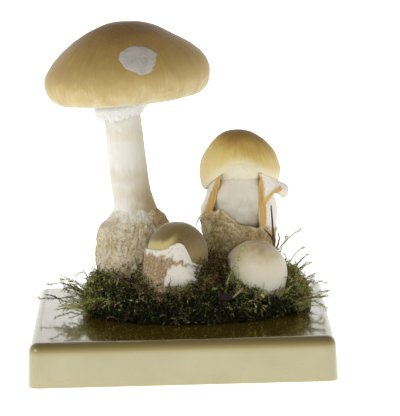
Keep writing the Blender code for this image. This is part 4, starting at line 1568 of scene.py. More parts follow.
@dataclass
class Button:
    """The button: a glossy olive dome with torn white veil round its lower half."""

    place: Pair = (-1.5, -20)
    body: Profile = (
        (0, 84), (7, 82.6), (13.2, 77.8), (17, 70.5), (18, 62.5), (17.4, 53.5), (15, 44.5),
        (10.5, 36.5), (0, 33))
    edge: Profile = (
        (0, 74.6), (10, 73.4), (20, 71), (30, 70.2), (68, 69.6), (90, 69), (135, 66), (180, 63),
        (225, 60), (270, 57), (300, 58.5), (315, 60.4), (326, 61.2), (334, 62.6), (341, 68.8),
        (347, 73), (354, 74.6), (360, 74.6))
    tear_top: Profile = ((-19, 67), (-10, 66), (-4, 66.8), (2, 63.4), (6, 61.6), (10, 59.5))
    tear_foot: Profile = (
        (-19, 30), (-9.5, 40), (-8, 53), (-6, 58.5), (-2.4, 61), (5, 60.6), (10, 59.2))
    wall: float = 1.5
    rim: float = 0.8
    top: float = 72.0

    def build(self) -> None:
        """Build the dome and its veil."""
        self.build_dome()
        self.build_veil()

    def edge_height(self, point: Sequence[float]) -> float:
        """Find the height of the veil's torn edge by the angle from the front.

        Args:
            point: Point about the body's own axis.

        Returns:
            The height.
        """
        ragged = 0.7 * rough(round_about(point, 5.0), 1.0)
        ragged += 0.45 * rough(round_about(point, 20.0), 1.0, 3)
        return between(self.edge, from_front(point)) + ragged

    def build_dome(self) -> None:
        """Turn the dome."""
        dome = lathe("button_dome", curve(self.body, 9), 160)

        def shape(point: Vector, run: float) -> Vector:
            """Raise soft lumps and fill out the shoulder."""
            lumps = 0.18 * rough(point, 8.0) + 0.05 * rough(point, 2.5)
            fuller = 1 + 0.02 * ramp(point.z, 58, 68) * ramp(point.z, 84, 76)
            point = Vector((point.x * fuller, point.y * fuller, point.z))
            return point + Vector((point.x, point.y, point.z - 62)).normalized() * lumps

        def yellow(point: Vector, run: float) -> float:
            """Measure how yellow the skin is above the veil."""
            above = point.z - self.edge_height(point) + 0.8 * rough(point, 3.0)
            return 0.85 * ramp(above, 6.2, 2.4) * ramp(point.x, 2.0, -5.0) * ramp(-point.y, -8, 4)

        sculpt(dome, shape)
        tag(dome, "margin", yellow)
        carry(dome, (*self.place, 0.0))
        glossy = {**SILK, "Roughness": 0.3, "Coat Weight": 0.4, "Coat Roughness": 0.25,
                  "Sheen Weight": 0.8}
        stops = ((0.0, "9A875C"), (0.14, "7A6638"), (0.24, "755F30"), (0.34, "8A7443"),
                 (0.46, "9A834E"), (0.58, "927B48"), (0.70, "927B48"))
        skin = CapSkin("button_skin", "button_cap", glossy, centre=(*self.place, 0.0), stops=stops,
                       fibres=14.0, streaks="4A3A1E", margin="C9B876")
        hand_over(dome, skin, "button_cap")

    def build_veil(self) -> None:
        """Turn the veil and tear its edge by the angle from the front."""
        side = curve(self.body, 8)
        skin = offset([p for p in side if p[1] <= self.top], 2.0 * GAP)
        outer = [(r + self.rim + (self.wall - self.rim) * ramp(z, self.top, self.top - 10), z)
                 for r, z in skin]
        low = skin[-1]
        profile = [*skin[::-1], *outer[:-1], (low[0], low[1] - self.wall)]
        veil = lathe("button_torn_veil", profile, 220)
        even = 50.0

        def shape(point: Vector, run: float) -> Vector:
            """Tear the upper edge and raise crumbs and swellings."""
            radius, height = math.hypot(point.x, point.y), point.z
            if radius < 0.5:
                return point
            turn = math.atan2(point.y, point.x)
            thick = radius - radius_at(skin, height)
            if height > even:
                risen = (height - even) * (self.edge_height(point) - even)
                height = even + risen / (self.top - even)
            lumps = 0.0
            if thick > 0.4:
                earthy = self.soiled(point)
                lumps = 0.4 * rough(point, 4.0) + (0.12 + 0.8 * earthy) * grain(point, 2.2, 3.0)
                lumps += 1.6 * self.swollen(point)
            radius = radius_at(skin, height) + thick + lumps
            return Vector((radius * math.cos(turn), radius * math.sin(turn), height))

        sculpt(veil, shape)
        tag(veil, "earth", lambda p, run: self.soiled(p))
        tag(veil, "bare", lambda p, run: 1.0 - self.soiled(p))
        carry(veil, (*self.place, 0.0))
        hand_over(veil, Crust("button_veil_crust", "button_volva", MATT, centre=(*self.place, 0.0),
                              pale="E2D6BF", dusty="C9B591", soil="A98F68", crack="6E5334",
                              flesh="E4DDD0"), "button_volva")

    def swollen(self, point: Vector) -> float:
        """Measure how far the low white lobe and the brown lower left stand out.

        Args:
            point: Point about the body's own axis.

        Returns:
            A share, 1 where one of them stands out most.
        """
        lobe = math.exp(-((point.x - 5.0) / 8.0) ** 2 - ((point.z - 54.0) / 4.5) ** 2)
        lobe *= ramp(-point.y, 0, 8)
        left = ramp(-point.x, 2, 9) * ramp(point.z, 62, 54) * ramp(-point.y, -6, 4)
        return lobe + left

    def soiled(self, point: Vector) -> float:
        """Measure how much earth clings at a point: at the lower left and in the tear.

        Args:
            point: Point about the body's own axis.

        Returns:
            0 where it is clean and 1 where it is earthy.
        """
        rise = point.z + 2.2 * rough(point, 3.5, 2.0) + 1.7 * grain(point, 1.6, 6.0)
        brink, lower = between(self.tear_top, point.x), between(self.tear_foot, point.x)
        band = ramp(rise, brink + 1.0, brink - 0.8) * ramp(rise, lower - 1.0, lower + 0.8)
        right = ramp(point.x + 1.5 * rough(point, 3.0), 12.5, 15.5)
        foot = ramp(rise, 50.5, 47.5)
        behind = ramp(point.y, -6, 4)
        return min(1.0, max(band, right, foot, behind))


@dataclass
class Egg:
    """The fruit body still closed in its veil."""

    place: Pair = (45.5, -14)
    body: Profile = (
        (0, 71), (6.5, 69.8), (12.8, 66), (17.2, 60), (18.8, 53), (18, 44.5), (14.8, 36.5),
        (9, 31.2), (0, 29.6))

    def build(self) -> None:
        """Turn the egg and give it soft dents."""
        egg = lathe("egg_veil", curve(self.body, 9), 150)

        def shape(point: Vector, run: float) -> Vector:
            """Raise soft dents and settle the egg."""
            lumps = 0.25 + 0.3 * rough(point, 10.0) + 0.07 * grain(point, 3.0)
            point += Vector((point.x, point.y, point.z - 50)).normalized() * lumps
            return Vector((point.x - 0.8, point.y, point.z - 0.9 * ramp(point.z, 40, 60)))

        sculpt(egg, shape)
        carry(egg, (*self.place, 0.0))
        hand_over(egg, EggSkin("egg_cream_skin", "egg", {**SOFT, "Roughness": 0.5},
                               centre=(*self.place, 0.0)), "egg")


class Habit(Enum):
    """How the leaves of a sprig stand on its stem."""

    FEATHER = "two rows"
    TUFT = "all round"
    STRAW = "a few"


@dataclass(frozen=True)
class Sprig:
    """A shoot or straw that is modelled once and planted many times."""

    habit: Habit
    length: float
    leaves: int
    leaf: float
    bend: float
    thick: float = 0.34

    def model(self, number: int) -> tuple[np.ndarray, np.ndarray, np.ndarray]:
        """Model the shoot along Z from a three-sided cone and one cone for each leaf.

        Args:
            number: Number of the shoot, which varies its leaves.

        Returns:
            Points in millimetres, triangles as rows of point numbers, and a shade for each
            point: leaves vary, and all are lighter towards the tip.
        """
        clear_selection()
        bpy.ops.mesh.primitive_cone_add(vertices=3, radius1=self.thick * MM, radius2=0.1 * MM,
                                        depth=self.length * MM,
                                        location=(0, 0, self.length / 2 * MM))
        stem = named("sprig")
        bpy.ops.object.transform_apply(location=True)
        bpy.ops.object.mode_set(mode="EDIT")
        for share in (0.4, 0.75):
            bpy.ops.mesh.select_all(action="SELECT")
            bpy.ops.mesh.bisect(plane_co=(0, 0, share * self.length * MM), plane_no=(0, 0, 1))
        bpy.ops.object.mode_set(mode="OBJECT")
        draw = random.Random(number)
        leaves = [self.leaf_at(i, draw) for i in range(self.leaves)]
        shoot = join([stem, *leaves])
        modify(shoot, "TRIANGULATE")
        places = places_of(shoot)
        share = places[:, 2] / self.length
        places[:, 0] += self.bend * share ** 2
        places[:, 1] += 0.4 * self.bend * np.sin(4 * share)
        places[:, 2] -= 0.35 * abs(self.bend) * share ** 3
        corners = np.empty(3 * len(shoot.data.polygons), np.int32)
        shoot.data.polygons.foreach_get("vertices", corners)
        bpy.data.objects.remove(shoot)
        shades = 0.30 * share - 0.12
        if leaves:
            shades[-4 * len(leaves):] += np.repeat([draw.gauss(0.05, 0.13) for _ in leaves], 4)
        return places, corners.reshape(-1, 3), shades

    def leaf_at(self, index: int, draw: random.Random) -> Piece:
        """Add one leaf, a flat three-sided cone that leans off the stem.

        Args:
            index: Number of the leaf, from the foot up.
            draw: Seeded source of chance.

        Returns:
            The leaf.
        """
        share = 0.12 + 0.86 * index / max(self.leaves - 1, 1)
        size = self.leaf * (1 - 0.45 * share) * draw.uniform(0.8, 1.2)
        bpy.ops.mesh.primitive_cone_add(vertices=3, radius1=0.37 * MM, radius2=0.0,
                                        depth=size * MM, location=(0, 0, size / 2 * MM))
        leaf = named("sprig_leaf")
        bpy.ops.object.transform_apply(location=True)
        spread = math.radians(draw.uniform(34, 62))
        if self.habit is Habit.TUFT:
            turn = index * 2.4
        else:
            turn = math.pi * (index % 2) + draw.uniform(-0.3, 0.3)
        leaf.data.transform(Matrix.Translation((0, 0, share * self.length * MM))
                            @ Matrix.Rotation(turn, 4, "Z") @ Matrix.Rotation(spread, 4, "Y")
                            @ Matrix.Diagonal((0.5, 1.25, 1.0, 1.0)))
        return leaf


@dataclass
class Planting:
    """Gathers copies of sprigs and writes them as one piece."""

    patterns: list[tuple[np.ndarray, np.ndarray, np.ndarray]]
    points: list[np.ndarray] = field(default_factory=list)
    faces: list[np.ndarray] = field(default_factory=list)
    tones: list[np.ndarray] = field(default_factory=list)
    count: int = 0

    def plant(self, kind: int, root: Vector, course: Vector, turn: float, size: float,
              tone: float) -> None:
        """Plant one copy.

        Args:
            kind: Which pattern.
            root: Where it stands.
            course: Way that it grows.
            turn: Turn about its own stem.
            size: Size against the pattern.
            tone: Where its shade lies in the finish's row.
        """
        places, corners, shades = self.patterns[kind]
        frame = course.to_track_quat("Z", "X").to_matrix() @ Matrix.Rotation(turn, 3, "Z")
        self.points.append(places @ (np.array(frame) * size).T + np.array(root))
        self.faces.append(corners + self.count)
        self.tones.append((shades + tone).astype(np.float32))
        self.count += len(places)

    def piece(self, name: str) -> Piece:
        """Write all copies as one mesh object.

        Args:
            name: Name of the piece.

        Returns:
            The piece.
        """
        mesh = bpy.data.meshes.new(name)
        mesh.from_pydata(np.concatenate(self.points) * MM, [], np.concatenate(self.faces).tolist())
        piece = bpy.data.objects.new(name, mesh)
        bpy.context.scene.collection.objects.link(piece)
        write_value(piece, "tone", np.concatenate(self.tones))
        return piece


@dataclass
class Moss:
    """Cushion of moss: a dark rough core under thousands of feathery shoots and straws."""

    ground: Ground
    ring: Profile = (
        (54, 45.6), (57, 45.6), (60.5, 44.4), (63.5, 41.5), (65.8, 37.5), (67, 32.5), (66, 26.35))
    seed: int = 11
    shoots: int = 6400
    creepers: int = 20000
    creeper_reach: float = 67.0
    gap_share: float = 0.25
    fringe_rounds: int = 6
    leafy: int = 4
    small: tuple[int, ...] = (0, 1, 2)
    straws: tuple[int, ...] = (4, 5)
    straw_mix: tuple[int, ...] = (4, 5, 5, 3)
    straight: int = 6
    stretch: float = 4.0
    sprigs: tuple[Sprig, ...] = (
        Sprig(Habit.FEATHER, 8.5, 12, 2.0, 4.5, 0.16),
        Sprig(Habit.FEATHER, 7.0, 11, 1.9, -4.5, 0.16), Sprig(Habit.TUFT, 6.0, 11, 1.8, 3.0, 0.16),
        Sprig(Habit.TUFT, 8.0, 12, 1.9, 5.0, 0.16), Sprig(Habit.STRAW, 8.0, 6, 1.6, 5.0, 0.24),
        Sprig(Habit.STRAW, 6.0, 6, 1.7, -4.0, 0.30), Sprig(Habit.FEATHER, 7.0, 11, 2.5, 0.4, 0.14))
    green: tuple[tuple[float, str], ...] = (
        (0.0, "070A05"), (0.25, "141B0B"), (0.45, "2B3617"), (0.62, "515C28"), (0.80, "8F9550"),
        (1.0, "CFCB92"))
    straw: tuple[tuple[float, str], ...] = (
        (0.0, "150D06"), (0.30, "3C2A17"), (0.55, "7C6038"), (0.78, "B89A66"), (1.0, "EAD9B4"))
    # Pale yellow-green for the ends and strands: the moss's own yellow-green, lifted by painted
    # backlight.
    bright: tuple[tuple[float, str], ...] = (
        (0.0, "3D4A16"), (0.4, "7F8C36"), (0.7, "BDBE6C"), (1.0, "ECE8BC"))
    fringe: tuple[tuple[Triple, ...], ...] = (
        ((-57, 2, 34), (-64, 2, 38), (-70, 3, 39), (-75, 3, 36)),
        ((-58, -8, 32), (-66, -9, 35), (-72, -9, 35), (-76, -9, 33)),
        ((-56, -16, 30), (-63, -18, 33), (-70, -19, 32)),
        ((-56, 12, 36), (-63, 13, 41), (-68, 13, 42)),
        ((68, 6, 36), (76, 6, 42), (82, 6, 43)),
        ((68, -12, 30), (78, -14, 34), (86, -14, 33)),
        ((66, 16, 40), (72, 17, 49), (78, 17, 53)))
    strands: tuple[tuple[Triple, ...], ...] = (
        ((55.8, 28, 47), (61.5, 29, 56.5), (66.6, 30, 63.6), (70.9, 30, 67.9), (73.4, 30, 69)),
        ((53.2, 20, 47.3), (58.9, 22, 56.6), (63.3, 24, 62.3), (65.2, 25, 65.8)),
        ((62.9, 20, 45), (68.5, 22, 53.9), (73, 24, 58.4), (75.5, 26, 58.6)),
        ((21, -0.5, 50), (20, -0.5, 62), (20.5, -0.4, 72.2), (19.7, 0, 79.1)),
        ((13.9, 2, 48), (11.7, 2, 66), (9.5, 3, 77.8), (14.4, 3, 84.2)),
        ((26.3, -33, 44), (29, -35.4, 54), (33.6, -35.8, 64), (39.1, -33.4, 71.5)),
        ((32.6, -34.5, 41), (34.6, -36.4, 51), (34.1, -36.4, 58.7)),
        ((71.3, -8, 31.7), (80.3, -10, 40.8), (84.6, -10, 44.9), (87.4, -9, 42.8)),
        ((72.8, -14, 31.6), (81.8, -16, 37), (87, -16, 38.7)),
        ((-57.3, 6, 35.6), (-65.5, 6, 43.2), (-72.7, 7, 46.2), (-69.3, 8, 41)),
        ((-60.7, -6, 33.5), (-71.4, -6, 36.3), (-80.3, -7, 39.5)),
        ((-53.7, 14, 40.7), (-58.8, 12, 49.2), (-63.8, 12, 46.3)),
        ((-56, 4, 37), (-74, 6, 34.6), (-86.4, 8, 35.4)),
        ((70, 4, 32), (80, 3, 34.4), (88, 2, 35.5)),
        ((62, 20, 38), (72, 21, 46), (79, 22, 50)),
        ((-40, -22, 38), (-54, -26, 39), (-66, -30, 36)),
        ((10, 45, 40), (11, 48, 53), (14, 50, 63)),
        ((17, 4, 50), (13.9, 3.6, 62.3), (17.6, 4.6, 66.4)))
    scraps: dict[str, tuple] = field(default_factory=lambda: {
        "moss_leaf": (((22.4, -43, 41.2), (23.6, -43.8, 42), (26, -44.2, 42.8),
                       (28.4, -44.2, 42.2), (30.2, -43.8, 41.4)),
                      (0.8, 2.2, 2.3, 2.0, 0.7), ("1C1410", "33261F", "57463A")),
        "moss_straw": (((30.4, -44.6, 41.8), (33.2, -43.4, 44.4), (36.6, -41, 46.8)),
                       (0.6, 0.9, 0.9), ("6E6142", "93855E", "B4A67E"))})

    def build(self) -> None:
        """Build the core and the scraps on it, then shoots of every shade."""
        self.build_core()
        self.build_scraps()
        draw = random.Random(self.seed)
        patterns = [sprig.model(number) for number, sprig in enumerate(self.sprigs)]
        layers = {name: Planting(patterns) for name in ("low", "green", "straw", "bright")}
        for number in range(self.shoots):
            self.plant_one(layers, draw, number / self.shoots)
        for _ in range(self.creepers):
            self.plant_creeper(layers, draw)
        for strand in self.strands:
            self.plant_strand(layers["green" if strand[-1][0] < -80 else "bright"], strand, draw)
        for strand in self.fringe * self.fringe_rounds:
            way = Vector([draw.gauss(0, 2.6) for _ in range(3)])
            moved = [tuple(Vector(p) + way * (0.4 + n * 0.4)) for n, p in enumerate(strand)]
            self.plant_strand(layers[draw.choice(("bright", "bright", "straw"))],
                              moved[:draw.choice((2, 3, 3, 4))], draw)
        for name, layer in layers.items():
            stops = {"straw": self.straw, "bright": self.bright}.get(name, self.green)
            piece = layer.piece("moss_shoots_" + name)
            hand_over(piece, Leafage("moss_" + name, "moss", MATT, stops=stops), "moss", soft=False)

    def build_scraps(self) -> None:
        """Sweep the dark leaf and the pale straw that lie on the moss in front."""
        for name, (path, radii, shades) in self.scraps.items():
            scrap = modify(tube(name, path, radii, 4), "SUBSURF", levels=1, render_levels=1)
            stops = tuple(zip((0.3, 0.55, 0.85), shades))
            hand_over(scrap, Earth(name + "_skin", "moss", MATT, stops=stops), "moss")

    def surface(self, turn: float, along: float) -> tuple[Vector, Vector]:
        """Find a spot on the cushion and its outward direction.

        Args:
            turn: Angle round the cushion.
            along: Share of the way from the inner top to the outer foot.

        Returns:
            The spot and the direction.
        """
        ring = curve(self.ring, 4)
        spot = min(int(along * (len(ring) - 1)), len(ring) - 2)
        before, after = Vector(ring[max(spot - 1, 0)]), Vector(ring[spot + 1])
        slope = (after - before).normalized()
        outwards = Vector((-slope.y * math.cos(turn), -slope.y * math.sin(turn), slope.x))
        radius, height = ring[spot]
        place = (radius * math.cos(turn), radius * math.sin(turn), height)
        return Vector(self.ground.on_patch(place, 4.5, 5.0)), outwards

    def plant_one(self, layers: dict[str, Planting], draw: random.Random, share: float) -> None:
        """Plant one shoot somewhere on the cushion, clear of the fruit bodies.

        Args:
            layers: Plantings by shade.
            draw: Seeded source of chance.
            share: How many shoots stand already, from 0 to 1.
        """
        turn = draw.uniform(0, math.tau)
        root, outwards = self.surface(turn, draw.random() ** 1.3)
        chance = Vector([draw.gauss(0, 0.75) for _ in range(3)])
        course = (outwards * 0.55 + chance).normalized()
        size = draw.uniform(0.55, 1.0)
        near, away = self.ground.clearance(root + course * 7 * size)
        if near < 1.5:
            course = (course + away * 1.2).normalized()
        if self.ground.nearest(root, course, size, (0, 5, 10)) < 0.5:
            return
        # Both ends of the cushion get more pale shoots and lighter tones: their own yellow-green
        # with painted backlight.
        ends = ramp(abs(root.x - 9.0), 46, 66)
        middle = math.exp(-((root.x + 2) / 34) ** 2) * ramp(-root.y, 18, 34) * ramp(root.z, 38, 45)
        straws, brights = 0.13 + 0.5 * middle + 0.14 * ends, 0.05 + 0.5 * ends
        tone = 0.32 * rough(root, 8.0) + draw.uniform(-0.12, 0.14) + 0.16 * ends
        # Painted shade: shoots that stand low at the front are darker.
        tone -= 0.12 * ramp(root.z, 36, 29)
        pick, spin = draw.random(), draw.uniform(0, math.tau)
        foot = root - course * 1.5
        if pick < straws:
            kind = draw.choice(self.straw_mix)
            layers["straw"].plant(kind, foot, course, spin, size, 0.42 + tone)
        elif pick < straws + brights:
            kind = draw.randrange(self.leafy)
            layers["bright"].plant(kind, foot, course, spin, size, 0.28 + tone)
        else:
            deep = share < 0.5
            # Painted shade and painted backlight: green shoots are darker low down and lighter
            # towards both ends of the cushion.
            shade = 0.16 if deep else 0.30 + 0.12 * ramp(root.z, 32, 46) + 0.15 * ends
            layers["low" if deep else "green"].plant(
                draw.randrange(self.leafy), foot, course, spin, size, max(0.0, shade + tone))

    def plant_creeper(self, layers: dict[str, Planting], draw: random.Random) -> None:
        """Plant a shoot that clings to the foot of a fruit body, where the spot allows it.

        Args:
            layers: Plantings by shade.
            draw: Seeded source of chance.
        """
        turn, radius = draw.uniform(0, math.tau), self.creeper_reach * math.sqrt(draw.random())
        spot = (radius * math.cos(turn), radius * math.sin(turn), 46 - 7 * ramp(radius, 52, 66))
        root = Vector(self.ground.on_patch(spot, 3.0, 4.0))
        if draw.random() < self.gap_share:
            root.xy = draw.uniform(6, 30), draw.uniform(-38, -6)
        gap = ramp(root.x, 4, 12) * ramp(root.x, 32, 26) * ramp(root.y, 4, -6)
        gap *= ramp(root.y, -39, -33)
        foot = ramp(root.y, -20, -26) * ramp(root.x, -10, -4)
        rise = 6 + 6 * ramp(root.x, -44, -34) + 4 * gap - 6 * foot * ramp(root.x, 14, 24)
        root.z += rise * draw.random() ** (1.5 - 0.8 * max(gap, foot))
        near, away = self.ground.clearance(root)
        if not 0.2 < near < 2.4 + 1.4 * gap + 3 * foot * (1 - gap):
            return
        along = away.cross(Vector((0, 0, 1))) * draw.uniform(-1, 1)
        course = along + away * draw.uniform(-0.05, 0.5) + Vector((0, 0, draw.uniform(-0.3, 0.8)))
        course.normalize()
        size = draw.uniform(0.4, 0.85)
        if self.ground.nearest(root, course, size, (4, 8)) < 0.2:
            return
        name = draw.choice(("straw", "straw", "straw", "low", "green", "bright"))
        light = 0.0
        if gap > 0.4:
            name = draw.choice(("straw", "straw", "straw", "straw", "low"))
        elif foot > 0 and root.x > 20:
            name, light = draw.choice(("straw", "green", "bright")), 0.2
        kinds = self.straws if name == "straw" else self.small
        layers[name].plant(draw.choice(kinds), root, course, draw.uniform(0, math.tau), size,
                           0.32 + light + 0.25 * rough(root, 6.0) + draw.uniform(-0.15, 0.2))

    def plant_strand(self, layer: Planting, strand: Sequence[Triple], draw: random.Random) -> None:
        """Plant straight shoots end to end along a strand, with small side shoots.

        Args:
            layer: Planting to add to.
            strand: Points that the strand passes.
            draw: Seeded source of chance.
        """
        flat = curve([p[:2] for p in strand], 8)
        rise = curve([(p[0], p[2]) for p in strand], 8)
        path = [Vector((x, y, z)) for (x, y), (_, z) in zip(flat, rise)]
        spots, walked = [path[0]], 0.0
        for before, after in zip(path, path[1:]):
            walked += (after - before).length
            if walked >= self.stretch:
                spots.append(after + Vector([draw.gauss(0, 0.5) for _ in range(3)]))
                walked = 0.0
        spots.append(path[-1])
        for before, after in zip(spots, spots[1:]):
            step = after - before
            if step.length > 0.5:
                size = (step.length + 1.0) / self.sprigs[self.straight].length
                layer.plant(self.straight, before, step.normalized(), draw.uniform(0, 3), size,
                            draw.uniform(0.3, 0.7))
                for _ in range(3):
                    course = step.normalized() + Vector([draw.gauss(0, 0.7) for _ in range(3)])
                    kind, spot = draw.choice(self.small), before.lerp(after, draw.random())
                    layer.plant(kind, spot, course.normalized(), draw.uniform(0, math.tau),
                                draw.uniform(0.25, 0.45), draw.uniform(0.3, 0.8))

    def build_core(self) -> None:
        """Turn the core of the cushion and roughen it."""
        wall = self.ground.soil_reach + GAP / self.ground.flattening
        side = [(r - 1.2, z - 1.0) for r, z in curve(self.ring, 4)[:-1]]
        floor = self.ground.floor
        profile = [(wall, 43.6), *side, (self.ring[-1][0] - 1.2, floor), (wall, floor)]
        core = lathe("moss_core", profile, 300, closed=True)

        def shape(point: Vector, run: float) -> Vector:
            """Lay the core on the patch and roughen it."""
            if math.hypot(point.x, point.y) < wall + 1:
                return Vector(self.ground.on_patch(point))
            lumps = 0.035 * rough(point, 3.5, 2.0) + 0.02 * grain(point, 2.0)
            swell = 1 + lumps * ramp(point.z, 27, 31)
            spot = self.ground.on_patch((point.x * swell, point.y * swell, point.z), 4.5, 5.0)
            return Vector(spot)

        sculpt(core, shape)
        hand_over(core, Earth("moss_core_dark", "moss", MATT, stops=(
            (0.3, "0B0E06"), (0.5, "1A1F0E"), (0.7, "2C2A14"), (0.9, "4A4420"))), "moss")


@dataclass
class Soil:
    """Mound of soil with litter, crumbs and a forked twig."""

    ground: Ground
    dome: Profile = ((0, 48.5), (14, 48.4), (27, 47.6), (39, 46.6), (48, 45.4))
    twig: tuple[tuple[Triple, ...], ...] = (
        ((58, 4, 40), (57.3, 3.4, 54), (56.6, 3, 66), (56, 3, 78), (55.4, 3, 88.5)),
        ((56.9, 3.2, 66), (55, 2.8, 69.6), (53, 2, 72.4), (51, 1, 74.5)),
        ((56.9, 3.2, 60), (59, 2.8, 64.5), (60, 2.2, 68.5), (59.2, 1.6, 72.5)))
    shreds: tuple[Sprig, ...] = (
        Sprig(Habit.STRAW, 8.0, 0, 1.0, 2.2, 0.4), Sprig(Habit.STRAW, 6.0, 1, 2.0, -2.0, 0.5),
        Sprig(Habit.STRAW, 11.0, 0, 1.0, 4.0, 0.32), Sprig(Habit.TUFT, 6.0, 7, 2.0, 1.0, 0.4))
    seed: int = 12
    scatter: int = 3600
    litter_reach: float = 58.0

    def build(self) -> None:
        """Build the mound, then its litter and twig."""
        self.build_mound()
        self.build_litter()
        self.build_twig()

    def build_mound(self) -> None:
        """Turn the mound and roughen its top."""
        reach = self.ground.soil_reach
        top = curve(self.dome, 12)
        profile = [*top, (reach, 44.4), (reach, self.ground.floor), (0.0, self.ground.floor)]
        mound = lathe("soil_crumbs", profile, 260)

        def shape(point: Vector, run: float) -> Vector:
            """Lay the mound on the patch and raise crumbs."""
            free = math.hypot(point.x, point.y) < 50
            spot = Vector(self.ground.on_patch(point, 3.6 if free else 0.0, 4.0))
            if free and point.z > 40:
                spot.z += 0.9 * grain(spot, 2.2, 5.0)
            return spot

        sculpt(mound, shape)
        hand_over(mound, Earth("soil_dark_crumbs", "soil", MATT), "soil_mound")

    def build_litter(self) -> None:
        """Scatter straws and shreds over the soil and between the fruit bodies."""
        draw = random.Random(self.seed)
        litter = Planting([shred.model(40 + number) for number, shred in enumerate(self.shreds)])
        for _ in range(self.scatter):
            turn, radius = draw.uniform(0, math.tau), self.litter_reach * math.sqrt(draw.random())
            spot = (radius * math.cos(turn), radius * math.sin(turn), 47.0)
            root = Vector(self.ground.on_patch(spot))
            near, away = self.ground.clearance(root)
            if near < 0.2:
                continue
            course = Vector((draw.uniform(-1, 1), draw.uniform(-1, 1), draw.uniform(-0.1, 0.7)))
            if near < 6:
                course += away * 0.6
            course.normalize()
            size = draw.uniform(0.5, 1.1)
            if self.ground.clearance(root + course * 8 * size)[0] < 0.3:
                continue
            litter.plant(draw.randrange(len(self.shreds)), root - course, course,
                         draw.uniform(0, math.tau), size, draw.uniform(0.0, 1.0))
        hand_over(litter.piece("soil_litter"), Leafage("litter_brown", "soil", MATT, stops=(
            (0.0, "1C130A"), (0.3, "3A2714"), (0.6, "66492A"), (0.85, "9A7B4C"), (1.0, "C0A878"))),
            "soil_mound", soft=False)

    def build_twig(self) -> None:
        """Sweep the forked twig."""
        parts = []
        for number, path in enumerate(self.twig):
            wide = 1.0 if number == 0 else 0.7
            radii = [wide * (1 - 0.6 * i / (len(path) - 1)) for i in range(len(path))]
            parts.append(tube("soil_twig", path, radii, 2))
        twig = join(parts)
        twig.name = twig.data.name = "soil_twig"
        hand_over(twig, Earth("twig_bark", "soil", MATT, stops=(
            (0.3, "3A281A"), (0.6, "6A4E34"), (0.9, "93744F"))), "soil_mound")


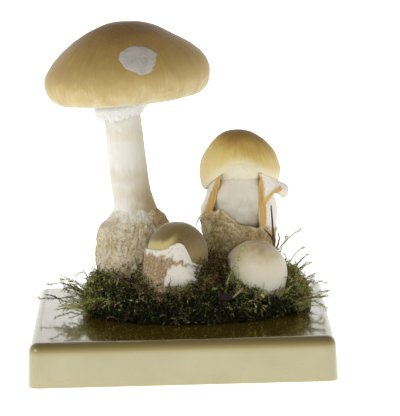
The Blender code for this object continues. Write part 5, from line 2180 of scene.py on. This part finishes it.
@dataclass
class Studio:
    """Pale floor, soft light and the camera at the photograph's angle."""

    distance: float = 2142.0
    elevation: float = math.radians(9.54)
    azimuth: float = math.radians(-0.35)
    roll: float = math.radians(-1.41)
    aim: Triple = (12.7, 0, 88.6)
    focal_pixels: float = 3575.0
    frame_height: float = 416.0
    sensor: float = 36.0
    floor_glow: float = 0.95
    lamp_power: float = 5.0
    fall_off: tuple[tuple[str, float, float, float, float], ...] = (
        ("Z", 0.05, 0.80, 1.10, 0.30), ("Y", -1.0, 0.3, 0.88, 1.0), ("X", -1.0, 1.0, 1.15, 0.9))

    def build(self) -> None:
        """Set the floor, the light and the camera."""
        self.build_floor()
        self.build_light()
        self.build_camera()

    def build_floor(self) -> None:
        """Lay the pale floor, lit from below as a light table is."""
        clear_selection()
        bpy.ops.mesh.primitive_plane_add(size=14.0, location=(0, 0, -0.0002))
        floor = named("studio_floor")
        finish = PaleFloor("studio_white", "board", {
            "Roughness": 0.9, "Emission Color": (1.0, 1.0, 1.0, 1.0),
            "Emission Strength": self.floor_glow})
        floor.data.materials.append(finish.material())

    def build_light(self) -> None:
        """Light the group from all round, weakest from above and strongest from below and left."""
        scene = bpy.context.scene
        scene.view_settings.view_transform = "Standard"
        scene.world = world = bpy.data.worlds.new("studio_light")
        world.use_nodes = True
        tree = world.node_tree
        ways = tree.nodes.new("ShaderNodeSeparateXYZ")
        tree.links.new(tree.nodes.new("ShaderNodeTexCoord").outputs["Generated"], ways.inputs[0])
        strength = None
        for axis, start, end, low, high in self.fall_off:
            graded = tree.nodes.new("ShaderNodeMapRange")
            for number, value in enumerate((start, end, low, high), 1):
                graded.inputs[number].default_value = value
            tree.links.new(ways.outputs[axis], graded.inputs[0])
            product = tree.nodes.new("ShaderNodeMath")
            product.operation = "MULTIPLY"
            product.inputs[1].default_value = 1.0
            tree.links.new(graded.outputs[0], product.inputs[0])
            if strength is not None:
                tree.links.new(strength, product.inputs[1])
            strength = product.outputs[0]
        tree.links.new(strength, tree.nodes["Background"].inputs["Strength"])
        tree.nodes["Background"].inputs["Color"].default_value = (1.0, 1.0, 1.0, 1.0)
        lamp = bpy.data.lights.new("soft_box", "AREA")
        lamp.size, lamp.energy = 0.8, self.lamp_power
        light = bpy.data.objects.new("soft_box", lamp)
        place = Vector((-1.5, -1.0, 0.9))
        light.location = place
        light.rotation_euler = (Vector((0, 0, 0.09)) - place).to_track_quat("-Z", "Y").to_euler()
        scene.collection.objects.link(light)

    def build_camera(self) -> None:
        """Stand the camera where the photograph was taken."""
        around, up = self.azimuth, self.elevation
        back = Vector((math.sin(around) * math.cos(up), -math.cos(around) * math.cos(up),
                       math.sin(up)))
        level = Vector((0, 0, 1)).cross(back).normalized()
        above = back.cross(level)
        right = level * math.cos(self.roll) + above * math.sin(self.roll)
        top = above * math.cos(self.roll) - level * math.sin(self.roll)
        camera = bpy.data.cameras.new("camera")
        camera.sensor_width, camera.sensor_fit = self.sensor, "AUTO"
        camera.lens = self.focal_pixels * self.sensor / self.frame_height
        camera.clip_start, camera.clip_end = 0.1, 100.0
        eye = bpy.data.objects.new("camera", camera)
        eye.matrix_world = Matrix.LocRotScale(
            (Vector(self.aim) + back * self.distance) * MM,
            Matrix((right, top, back)).transposed().to_quaternion(), None)
        bpy.context.scene.collection.objects.link(eye)
        bpy.context.scene.camera = eye


def main() -> None:
    """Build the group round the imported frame, in order, and report each piece."""
    logging.basicConfig(level=logging.INFO, format="%(name)s %(message)s", stream=sys.stdout)
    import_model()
    Studio().build()
    tall, young, button, egg = FullGrownBody(), HalfGrownBody(), Button(), Egg()
    Board().build()
    tall.build()
    young.build()
    button.build()
    egg.build()
    volva = [(radius_at(tall.stem_side, z) + tall.volva_wall + GAP, z) for z in range(88, 34, -4)]
    veil = [(radius_at(button.body, z) + button.wall + 2 * GAP, z) for z in range(83, 34, -4)]
    ground = Ground(standing=[Standing(tall.place, volva), Standing(young.place, young.volva_outer),
                              Standing(button.place, veil), Standing(egg.place, egg.body)])
    Soil(ground).build()
    Moss(ground).build()


if __name__ == "__main__":
    main()
